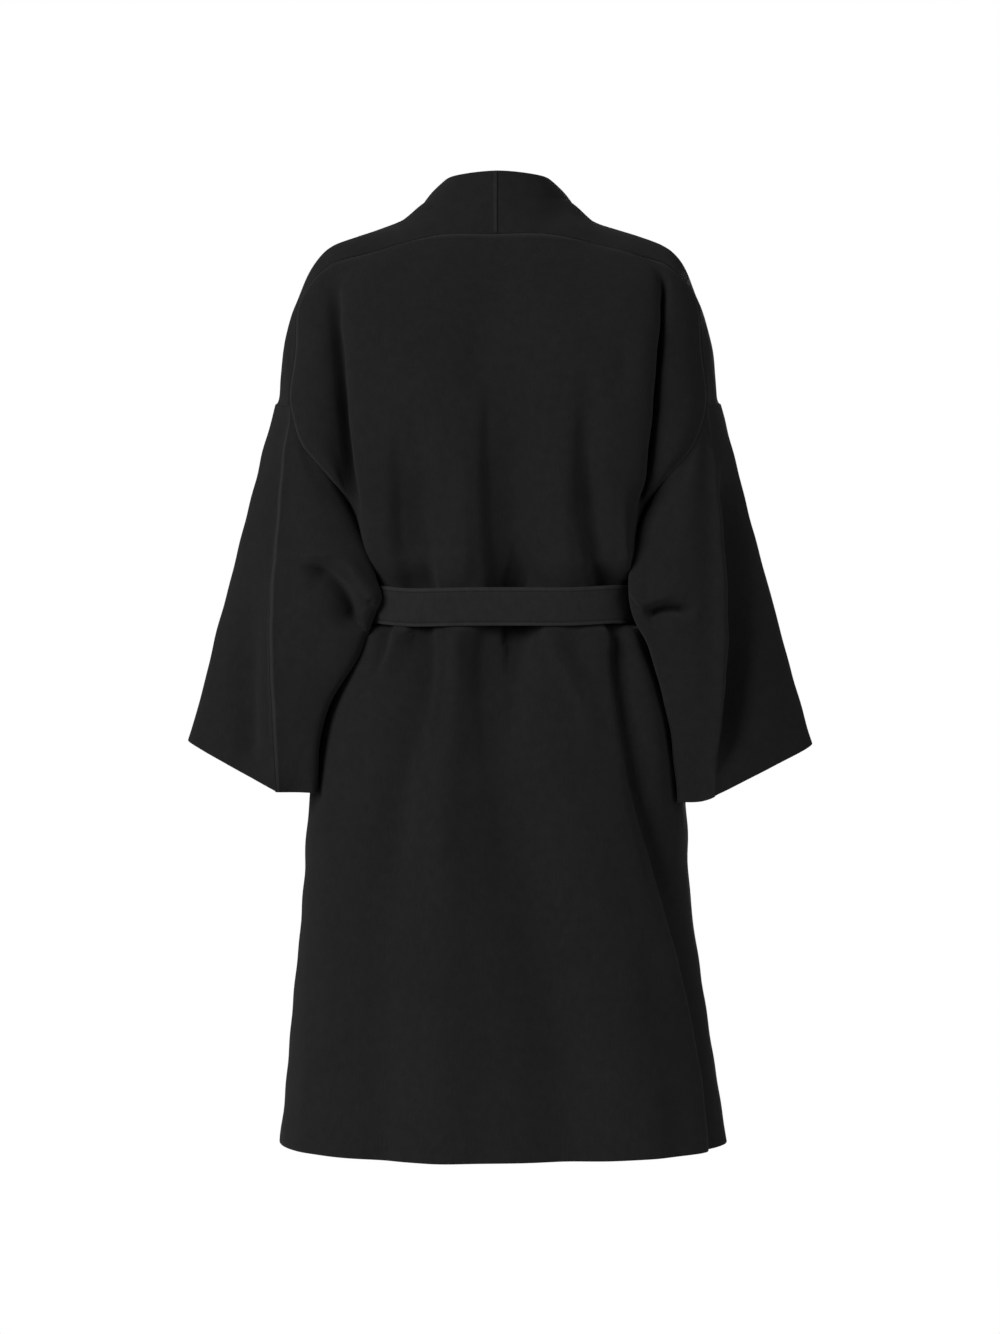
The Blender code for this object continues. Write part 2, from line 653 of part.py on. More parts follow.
def belt_place(angle, out, lift=0.0):
    """Point over the belt line of the body, at an angle from the centre back, moved out and up."""
    _, left, right, back, front, _, _, squareness = BODY["belt_low"]
    across = math.sin(math.radians(angle))
    behind = math.cos(math.radians(angle))
    half = (right if across >= 0 else left) + out
    depth = (back if behind >= 0 else front) + out
    return (
        half * math.copysign(abs(across) ** squareness, across),
        -depth * math.copysign(abs(behind) ** squareness, behind),
        BELT_HEIGHT - BELT_DROOP * max(behind, 0) ** 2 + lift,
    )


def add_rings(name, rings, colour, closed=False):
    """Closed solid through a row of rings, with flat ends, or going round in a loop."""
    count = len(rings[0])
    points = [point for ring in rings for point in ring]
    faces = []
    for row in range(len(rings) if closed else len(rings) - 1):
        near, far = row * count, (row + 1) % len(rings) * count
        for column in range(count):
            beside = (column + 1) % count
            faces.append((near + column, near + beside, far + beside, far + column))
    if not closed:
        faces.append(tuple(range(count - 1, -1, -1)))
        faces.append(tuple(range(len(points) - count, len(points))))
    made = add_mesh(name, points, faces, colour)
    shape = bmesh.new()
    shape.from_mesh(made.data)
    bmesh.ops.recalc_face_normals(shape, faces=shape.faces)
    shape.to_mesh(made.data)
    shape.free()
    return made


def add_belt_band():
    """Band all round the waist, behind the knot too."""
    soft = 0.0015
    half = BELT_WIDTH / 2
    profile = (
        (0, -half + soft), (soft, -half), (BELT_THICK - soft, -half), (BELT_THICK, -half + soft),
        (BELT_THICK, half - soft), (BELT_THICK - soft, half), (soft, half), (0, half - soft),
    )
    rings = []
    for angle in np.linspace(-180, 180, 48, endpoint=False):
        rings.append([belt_place(angle, BELT_CLEAR + out, lift) for out, lift in profile])
    return add_rings("belt_band", rings, "belt", closed=True)


def knot_back():
    return BODY["belt_low"][4] + BELT_CLEAR + BELT_THICK + SEAM_GAP


def knot_swell(share):
    return 1 - KNOT_TAPER * abs(share) ** 3


def add_belt_knot():
    """Knot in front of the band."""
    rings = []
    for share in KNOT_SHARES:
        swell = knot_swell(share)
        ring = []
        for step in range(20):
            angle = 2 * math.pi * step / 20
            up = math.copysign(abs(math.sin(angle)) ** KNOT_ROUND, math.sin(angle))
            deep = math.copysign(abs(math.cos(angle)) ** KNOT_ROUND, math.cos(angle))
            ring.append(
                (
                    share * KNOT_WIDTH / 2,
                    knot_back() + KNOT_DEPTH / 2 * (1 + deep * swell),
                    BELT_HEIGHT + KNOT_HEIGHT / 2 * up * swell,
                )
            )
        rings.append(ring)
    return add_rings("belt_knot", rings, "belt")


def knot_under(across, deep):
    """Height of the knot's underside at a place across the front and at a depth."""
    swells = [knot_swell(share) for share in KNOT_SHARES]
    swell = np.interp(across / KNOT_WIDTH * 2, KNOT_SHARES, swells)
    off_centre = min(abs((deep - knot_back()) / (KNOT_DEPTH / 2) - 1) / swell, 1)
    roundness = (1 - off_centre ** (2 / KNOT_ROUND)) ** (KNOT_ROUND / 2)
    return BELT_HEIGHT - KNOT_HEIGHT / 2 * swell * roundness


def front_depth(across, up):
    """How far forward the front of the body lies below the belt."""
    rows = np.array(sorted(BODY.values()))
    half, depth, square = (np.interp(up, rows[:, 0], rows[:, column]) for column in (2, 4, 7))
    return depth * (1 - (abs(across) / half) ** (2 / square)) ** (square / 2)


def add_belt_end(name, start, sway, length, high_out, low_out):
    """Hanging end of the belt: gathered under the knot, then flat over the front."""
    low = BELT_HEIGHT - KNOT_HEIGHT / 2 - length
    nearest = min(BODY["belt_low"][4] + high_out, knot_back() + KNOT_DEPTH / 2)
    outer = []
    for row in range(15):
        share = row / 14
        width = BELT_WIDTH * (0.5 + 0.5 * smooth(share / 0.22))
        centre = start + sway * share
        out = high_out + (low_out - high_out) * smooth((share - 0.1) / 0.6)
        line = []
        for column in range(5):
            across = centre + width * (column / 4 - 0.5)
            top = knot_under(start + BELT_WIDTH / 2 * (column / 4 - 0.5), nearest) - KNOT_GAP
            up = top + (low - top) * share
            ripple = 0.0015 * math.cos(2 * math.pi * (column / 4 - 0.5))
            ripple *= (1 - share) * smooth(share / 0.1)
            line.append((across, front_depth(centre, up) + out + ripple, up))
        outer.append(line)
    outer = np.array(outer)
    outer[0, :, 1] = BODY["belt_low"][4] + high_out
    inner = outer - np.array((0, BELT_THICK, 0))
    return add_wall(name, outer, inner, 1, "belt")


def build():
    for old in list(bpy.data.objects):
        bpy.data.objects.remove(old, do_unlink=True)
    body, armpit, junction = body_grids()
    grids = {**body, **sleeve_grids(body, armpit, junction)}
    facings = {name: -1 if name.endswith("left") else 1 for name in grids}
    outward = shared_normals(grids, facings)
    for name, grid in grids.items():
        inner = inner_face(grid, outward[name])
        if name in body:
            parts = ((name, slice(WAIST_ROW, None)), (name + "_skirt", slice(WAIST_ROW + 1)))
        else:
            parts = ((name, slice(None)),)
        for part, rows in parts:
            colour = "body" if name in body else "sleeve"
            add_wall(part, drawn_in(grid[rows]), drawn_in(inner[rows]), facings[name], colour)
    add_belt_band()
    add_belt_knot()
    add_belt_end("belt_end_left", -0.0125, -0.026, BELT_END, 0.0155, 0.009)
    add_belt_end("belt_end_right", 0.0125, 0.030, BELT_END * 0.88, 0.0235, 0.012)


build()
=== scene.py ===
"""Looks of a belted wrap coat of black double-faced wool, in the shape it has when worn.

Each cut piece is a thin shell of cloth with its folds, seams and edges, and the tie belt lies
round the waist. Metres, +Z up. The back of the coat faces -Y and its right front is at +X.
"""

import functools
import math

import bpy
import numpy as np
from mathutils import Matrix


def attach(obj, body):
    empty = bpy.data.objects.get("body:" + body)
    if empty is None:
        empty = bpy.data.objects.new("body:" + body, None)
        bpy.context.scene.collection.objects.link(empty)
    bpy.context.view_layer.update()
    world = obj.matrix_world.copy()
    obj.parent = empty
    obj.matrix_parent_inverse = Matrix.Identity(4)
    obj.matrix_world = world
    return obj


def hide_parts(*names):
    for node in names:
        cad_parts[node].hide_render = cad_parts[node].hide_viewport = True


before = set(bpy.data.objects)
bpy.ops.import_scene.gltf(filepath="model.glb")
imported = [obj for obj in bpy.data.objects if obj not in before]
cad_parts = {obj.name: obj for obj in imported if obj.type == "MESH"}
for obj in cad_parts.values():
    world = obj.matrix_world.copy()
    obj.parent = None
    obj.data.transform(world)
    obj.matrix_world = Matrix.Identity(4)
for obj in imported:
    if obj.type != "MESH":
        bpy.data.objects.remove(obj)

bl_info = {
    "name": "Belted wrap coat",
    "version": (1, 0, 0),
    "blender": (4, 5, 0),
    "location": "View3D > Sidebar > Coat",
    "description": "Builds the cloth, seams, belt and stage of a belted wrap coat",
    "category": "Object",
}

# Driving dimensions.
MM = 0.001  # distances from a seam are kept in millimetres
LAYER_IN = 0.0075  # the left front lies this far inside the right one where they cross
LAYER_OUT = 0.009  # the right front rises this far over the left lapel
BREAK_IN = 0.008  # the left front goes in this much more where its lapel starts to turn
BREAK = (0.055, -0.340)  # where that is, as (across, up)
CROSS_TOP = -0.14  # the fronts cross below this height
CROSS_LEFT = -0.13  # the left front goes in from here to its edge
CROSS_HALF = 0.11  # the right front rises this far to both sides of the centre
CROSS_LOW = -0.385  # and above this height
CROSS_SOFT = 0.05  # width of the soft steps at these places
CROSS_FADE = {-1: 0.10, 1: 0.06}  # height of the soft step at the top, left and right front
LAPEL_LIFT = 0.0075  # height of the lapel's roll over the front it lies on
LAPEL_REST = 0.0045  # height of the lapel's edge over the front it lies on
LAPEL_STEP = 0.006  # the slope of the front under the lapel is taken over this length
FREE_TURN = 120  # the strip past the roll stands out by at most this many degrees
LIE_FROM = 60  # turned by more than this, it comes to lie on the front
THINNEST = 0.0012  # wall inside the tightest bends
LEAST_ROOM = 0.25  # share of its length that the inner face keeps in a bend
THINNER = 0.85  # share of the wall that is left by each step that makes this room
THIN_STEPS = 8

BELT_CLEAR = 0.0014  # clearance between the belt line of the body and the band
BELT_HEIGHT = -0.407  # middle of the band at the front
BELT_DROOP = 0.006  # the band sags this much at the centre back
BELT_HOLD = 0.020  # the band holds the cloth down this far above and below its middle
BELT_PUFF = 0.014  # past that, ridges reach their full height over this distance
LEVEL_PAST = 0.01  # past the hold, folds move the cloth level at least this far
LEVEL_FADE = 0.08  # and square to the cloth after this much more
BELT_PAINTED_LIGHTER = 1.45  # the belt's copy of the same wool is painted this much paler, as painted light on the belt
STITCH_INSET = 0.0045  # the stitches lie this far inside the belt's edges
STITCH_WIDTH = 0.0012
STITCH_SHARE = 0.16  # depth of their groove as a share of the band's half thickness
STITCH_DEPTH = 0.0006  # and on the hanging ends
SECTION_FLAT = 0.35  # the lower this power, the flatter the band's faces
SECTION_SIDE = 0.55  # and the squarer its edges
BELT_EDGE_RIDGE_AND_HIGHLIGHT = 0.7  # height of the ridge along the belt's edges and strength of its painted highlight, as a share of a seam's
# Waves of the band round the waist. Columns: height, number of waves, phase.
BAND_SWAY = ((0.0009, 3, 0.6), (0.0006, 7, 2.1))
BAND_LEAN = ((0.03, 2, 0.4), (0.02, 5, 0))
BAND_RIPPLE = ((0.0004, 11, 0),)
LEAN_LEAST = -0.001  # the band leans in by no more than this
STITCH_SOFT = 0.6  # least distance in millimetres that counts in its stitch lines, which keeps them faint
# Hanging ends of the belt. Columns: place across under the knot, sway to the side, share of the full
# length, distance from the body at the top, at the bottom.
BELT_ENDS = {
    "left": (-0.0125, -0.026, 1, 0.0155, 0.009),
    "right": (0.0125, 0.030, 0.88, 0.0235, 0.012),
}
END_DRAWN = 0.5  # share of its width to which an end is drawn together under the knot
END_SPREAD = 0.22  # share of its length after which it has its full width
END_SEAT = 0.06  # share over which it leaves the knot
END_TOP = 0.1  # share over which its fold and its stitches begin, and after which it falls in
END_FALL = 0.6  # share over which it falls in towards the front
END_FOLD = 0.0015  # height of the fold down its middle
END_RIPPLE = (0.0008, 9, 5)  # height, pace down the end and slant of its small waves
END_CALM = 0.3  # share over which these begin
# Rows and points in a row of the band, the knot and the ends.
BAND_STEPS = (360, 72)
KNOT_STEPS = (61, 64)
END_STEPS = (150, 33)

KNOT_WIDTH = 0.052
KNOT_HEIGHT = 0.054
KNOT_DEPTH = 0.026
KNOT_ROUND = 0.7  # 1 makes its sections elliptical, less makes them squarer
KNOT_GAP = 0.0006  # clearance between the knot's underside and the hanging ends
KNOT_SEAT = 0.0003  # clearance between the knot and the band
KNOT_TAPER = 0.30  # a section at the side of the knot is this much smaller
WRAP_LEAN = 0.10  # the wrap over the middle leans to the side by this share of the knot
WRAP_HALF = 0.50  # it covers this share of the half width
WRAP_SOFT = 0.1
WRAP_RISE = 0.09  # it stands up by this share over the belt that goes in at the sides
WRAP_GROOVE = (0.52, 0.07, 0.10)  # place, spread and depth of the groove beside it, as shares
PLY = (0.02, 9, 2.2)  # height, number and slant of its small folds

# Body sections from the hem to just above the belt. Columns: height, half width left, half width
# right, depth of the back, depth of the front, sag at the centre back, front edge past the centre,
# squareness (below 1 a section is fuller at its corners than an ellipse).
BODY = {
    "hem": (-1.0130, 0.2460, 0.2580, 0.170, 0.165, 0.000, 0.085, 0.90),
    "knee": (-0.860, 0.2315, 0.2345, 0.163, 0.158, 0.000, 0.085, 0.90),
    "thigh": (-0.720, 0.2190, 0.2155, 0.155, 0.151, 0.000, 0.084, 0.90),
    "seat": (-0.610, 0.2110, 0.2100, 0.147, 0.144, 0.000, 0.083, 0.80),
    "hip": (-0.520, 0.1920, 0.1930, 0.140, 0.137, 0.002, 0.081, 0.66),
    "under_belt": (-0.465, 0.1720, 0.1765, 0.133, 0.130, 0.004, 0.078, 0.62),
    "belt_puff": (-0.4345, 0.1620, 0.1700, 0.1285, 0.1255, 0.006, 0.077, 0.66),
    "belt_low": (-0.427, 0.1490, 0.1550, 0.125, 0.122, 0.006, 0.076, 0.70),
    "belt_high": (-0.383, 0.1480, 0.1540, 0.125, 0.122, 0.006, 0.072, 0.68),
    "over_belt": (-0.357, 0.1540, 0.1590, 0.131, 0.128, 0.007, 0.066, 0.50),
}
BACK_ANGLES = (0, 30, 52, 66, 73, 81, 90)  # degrees from the centre back to the side seam
# Degrees from the centre back to the third line, which follows the deep fold of the skirt.
FOLD_ANGLES = {
    "hem": 64.2, "knee": 63.1, "thigh": 54.4, "seat": 39.4, "hip": 33.4, "under_belt": 34.6,
    "belt_puff": 38.5, "belt_low": 44, "belt_high": 49, "over_belt": 55,
}
FRONT_SHARES = (0, 0.12, 0.25, 0.42, 0.66, 1)  # shares of the way from side seam to front edge

# Upper back, right half. A row for each section; the columns are the named lines that run down the
# back, each as (across, back to front, up).
# centre, quarter, edge of the back, crease beside the arm, back of the arm, arm, seam
UPPER_BACK = {
    "armpit": (
        (0, -0.134, -0.340), (0.086, -0.127, -0.339), (0.145, -0.104, -0.337), (0.1515, -0.083, -0.3355),
        (0.1545, -0.060, -0.335), (0.156, -0.032, -0.334), (0.155, 0, -0.333),
    ),
    "low_armhole": (
        (0, -0.136, -0.309), (0.085, -0.127, -0.308), (0.150, -0.102, -0.305), (0.1555, -0.082, -0.3035),
        (0.160, -0.075, -0.302), (0.1630, -0.069, -0.300), (0.166, -0.062, -0.297),
    ),
    "mid_armhole": (
        (0, -0.137, -0.277), (0.085, -0.132, -0.276), (0.157, -0.106, -0.273), (0.1600, -0.074, -0.271),
        (0.167, -0.086, -0.270), (0.178, -0.086, -0.269), (0.187, -0.083, -0.268),
    ),
    "high_armhole": (
        (0, -0.137, -0.250), (0.087, -0.135, -0.247), (0.1605, -0.109, -0.241), (0.1640, -0.074, -0.239),
        (0.172, -0.090, -0.237), (0.196, -0.090, -0.234), (0.2165, -0.078, -0.232),
    ),
    "junction": (
        (0, -0.136, -0.222), (0.088, -0.136, -0.217), (0.1640, -0.109, -0.208), (0.1675, -0.074, -0.205),
        (0.176, -0.091, -0.202), (0.207, -0.085, -0.193), (0.2310, -0.063, -0.1856),
    ),
    "mid_arm": (
        (0, -0.131, -0.166), (0.087, -0.1335, -0.161), (0.1690, -0.106, -0.150), (0.1725, -0.075, -0.146),
        (0.1805, -0.089, -0.142), (0.204, -0.082, -0.1345), (0.2250, -0.061, -0.126),
    ),
    "upper_arm": (
        (0, -0.122, -0.110), (0.085, -0.127, -0.105), (0.1740, -0.100, -0.094), (0.1775, -0.077, -0.089),
        (0.185, -0.085, -0.084), (0.203, -0.074, -0.074), (0.2170, -0.056, -0.0632),
    ),
    "shoulder_cap": (
        (0, -0.105, -0.054), (0.078, -0.106, -0.052), (0.1680, -0.086, -0.046), (0.1780, -0.076, -0.0445),
        (0.186, -0.072, -0.044), (0.194, -0.065, -0.043), (0.2020, -0.0555, -0.0425),
    ),
    "shoulder": (
        (0, -0.084, 0), (0.0674, -0.080, -0.0006), (0.1008, -0.072, -0.0074), (0.118, -0.069, -0.0122),
        (0.136, -0.065, -0.0166), (0.152, -0.061, -0.0205), (0.1825, -0.055, -0.0272),
    ),
}
# How far the crease beside each arm and the back of the arm are moved out, and how far in the last
# three lines.
CREASE_SHIFT = {-1: (-0.0025, 0.004, 0.005, 0.0, 0.0), 1: (0.003, 0.002, -0.008, -0.010, -0.006)}

# Upper front, right half. The rows go up to the shoulder, then round the neck to the centre back.
# seam, outside of the arm, front of the arm, crease beside the arm, chest, roll of the lapel
UPPER_FRONT = {
    "armpit": (
        (0.155, 0, -0.333), (0.153, 0.036, -0.332), (0.145, 0.066, -0.330),
        (0.123, 0.096, -0.327), (0.070, 0.124, -0.318), (-0.045, 0.132, -0.312),
    ),
    "low_armhole": (
        (0.174, 0.058, -0.292), (0.168, 0.068, -0.292), (0.158, 0.085, -0.292),
        (0.136, 0.104, -0.290), (0.075, 0.131, -0.278), (-0.022, 0.141, -0.262),
    ),
    "mid_armhole": (
        (0.220, 0.066, -0.237), (0.203, 0.079, -0.238), (0.179, 0.080, -0.240),
        (0.156, 0.087, -0.240), (0.090, 0.132, -0.228), (0.003, 0.147, -0.212),
    ),
    "high_armhole": (
        (0.2520, 0.012, -0.183), (0.243, 0.044, -0.183), (0.208, 0.076, -0.184),
        (0.170, 0.066, -0.184), (0.105, 0.118, -0.175), (0.026, 0.140, -0.163),
    ),
    "junction": (
        (0.2310, -0.063, -0.1856), (0.2455, 0, -0.157), (0.213, 0.068, -0.143),
        (0.172, 0.066, -0.147), (0.110, 0.108, -0.135), (0.046, 0.129, -0.120),
    ),
    "upper_arm": (
        (0.2170, -0.056, -0.0632), (0.2285, 0.000, -0.075), (0.204, 0.056, -0.085),
        (0.168, 0.068, -0.086), (0.115, 0.092, -0.078), (0.066, 0.109, -0.070),
    ),
    "shoulder": (
        (0.1825, -0.055, -0.0272), (0.193, -0.012, -0.0085), (0.176, 0.034, -0.021),
        (0.148, 0.055, -0.027), (0.114, 0.070, -0.024), (0.083, 0.083, -0.019),
    ),
    "mid_shoulder": (
        (0.152, -0.061, -0.0205), (0.158, -0.028, 0.004), (0.152, 0.010, 0.0065),
        (0.136, 0.036, 0.001), (0.114, 0.053, 0.003), (0.090, 0.067, 0.008),
    ),
    "neck_side": (
        (0.1008, -0.072, -0.0074), (0.110, -0.040, 0.013), (0.115, -0.008, 0.0215),
        (0.113, 0.016, 0.0225), (0.105, 0.033, 0.0265), (0.093, 0.046, 0.033),
    ),
    "neck_turn": (
        (0.0845, -0.0765, -0.004), (0.0945, -0.053, 0.013), (0.101, -0.0285, 0.0235),
        (0.102, -0.007, 0.029), (0.0975, 0.011, 0.035), (0.0895, 0.025, 0.041),
    ),
    "neck_corner": (
        (0.0674, -0.080, -0.0006), (0.076, -0.065, 0.013), (0.0825, -0.048, 0.0245),
        (0.086, -0.030, 0.034), (0.086, -0.012, 0.0415), (0.0825, 0.003, 0.047),
    ),
    "neck_back": (
        (0.0404, -0.0826, 0), (0.0455, -0.0775, 0.0085), (0.049, -0.072, 0.017),
        (0.051, -0.067, 0.0255), (0.052, -0.0625, 0.034), (0.0515, -0.0585, 0.042),
    ),
    "centre_back": (
        (0, -0.084, 0), (0, -0.0828, 0.008), (0, -0.0815, 0.016),
        (0, -0.080, 0.024), (0, -0.0785, 0.032), (0, -0.077, 0.040),
    ),
}

# The strip past the roll. Columns: width, angle that it turns back through.
LAPEL = {
    "over_belt": (0.012, 60),
    "armpit": (0.022, 180),
    "low_armhole": (0.048, 180),
    "mid_armhole": (0.070, 180),
    "high_armhole": (0.086, 180),
    "junction": (0.090, 180),
    "upper_arm": (0.081, 180),
    "shoulder": (0.056, 170),
}
EDGE_STRIP = 0.012  # width of the flat strip along the front edge below the belt
STRIP_SHARES = (0.06, 0.3, 0.65, 1.0)
# The collar round the neck, where the strip stands up. A row for each section, from the roll out.
COLLAR = {
    "mid_shoulder": (
        (0.0915, 0.0745, 0.014), (0.0975, 0.0835, 0.019), (0.105, 0.091, 0.0205),
        (0.112, 0.097, 0.019),
    ),
    "neck_side": (
        (0.0915, 0.053, 0.0395), (0.088, 0.061, 0.045), (0.0835, 0.070, 0.049),
        (0.080, 0.080, 0.050),
    ),
    "neck_turn": (
        (0.0860, 0.031, 0.048), (0.0815, 0.036, 0.054), (0.0760, 0.041, 0.0585),
        (0.0715, 0.045, 0.062),
    ),
    "neck_corner": (
        (0.078, 0.0045, 0.0545), (0.073, 0.006, 0.061), (0.0680, 0.007, 0.066),
        (0.0630, 0.008, 0.070),
    ),
    "neck_back": (
        (0.0495, -0.057, 0.050), (0.047, -0.0555, 0.0575), (0.044, -0.054, 0.0645),
        (0.041, -0.052, 0.0715),
    ),
    "centre_back": (
        (0, -0.0755, 0.048), (0, -0.074, 0.056), (0, -0.0725, 0.064),
        (0, -0.071, 0.0725),
    ),
}

# Right sleeve below the armhole. A row for each ring; the columns are the lines down the sleeve.
# overarm ridge, back, inner edge, inner side, underarm seam, front, outer edge
SLEEVE = {
    "upper": (
        (0.2395, -0.075, -0.2933), (0.203, -0.103, -0.318), (0.162, -0.090, -0.335),
        (0.166, -0.030, -0.352), (0.174, 0.012, -0.362), (0.222, 0.074, -0.325), (0.2712, 0, -0.2554),
    ),
    "above_elbow": (
        (0.2457, -0.090, -0.382), (0.198, -0.114, -0.392), (0.151, -0.102, -0.3984),
        (0.167, -0.035, -0.405), (0.178, 0.012, -0.410), (0.236, 0.080, -0.390), (0.2915, 0.002, -0.340),
    ),
    "elbow": (
        (0.2468, -0.095, -0.4593), (0.207, -0.110, -0.461), (0.166, -0.106, -0.4592),
        (0.176, -0.035, -0.464), (0.187, 0.012, -0.468), (0.252, 0.083, -0.455), (0.312, 0.004, -0.419),
    ),
    "forearm": (
        (0.2445, -0.095, -0.5363), (0.217, -0.098, -0.538), (0.190, -0.096, -0.5367),
        (0.197, -0.030, -0.540), (0.209, 0.012, -0.541), (0.268, 0.083, -0.525), (0.330, 0.006, -0.4927),
    ),
    "cuff": (
        (0.2390, -0.090, -0.617), (0.223, -0.083, -0.620), (0.206, -0.084, -0.6205),
        (0.212, -0.025, -0.620), (0.228, 0.014, -0.617), (0.284, 0.080, -0.592), (0.349, 0.008, -0.5605),
    ),
}

# How far each sleeve's ridge and its outer edge are let out at the cuff, as (across, up).
SLEEVE_REACH = {
    "left": ((0.0045, 0.001), (0.001, -0.001)),
    "right": ((-0.002, -0.0045), (0.006, -0.0045)),
}
# How far out the inner edge of each sleeve lies, ring by ring.
INNER_EDGE = {
    "left": (0.151, 0.134, 0.155, 0.1975, 0.2055),
    "right": (0.156, 0.1465, 0.1715, 0.1945, 0.2045),
}
# How far the cuff is lifted behind and inside the arm.
INNER_LIFT = {"left": 0.003, "right": -0.007}
# Height of the fold that each sleeve's ridge stands up in.
RIDGE_RISE = {"left": 0.004, "right": 0.006}
RIDGE_SPREAD = {"back": 0.010, "front": 0.005}  # how far it reaches into each half
RIDGE_START = 0.15  # share of the sleeve's length over which it rises
RIDGE_END = (0.55, 0.8)  # from this share on it loses this much of its height
RIDGE_LINE, OUTER_LINE = 0, 6  # columns of the sleeve

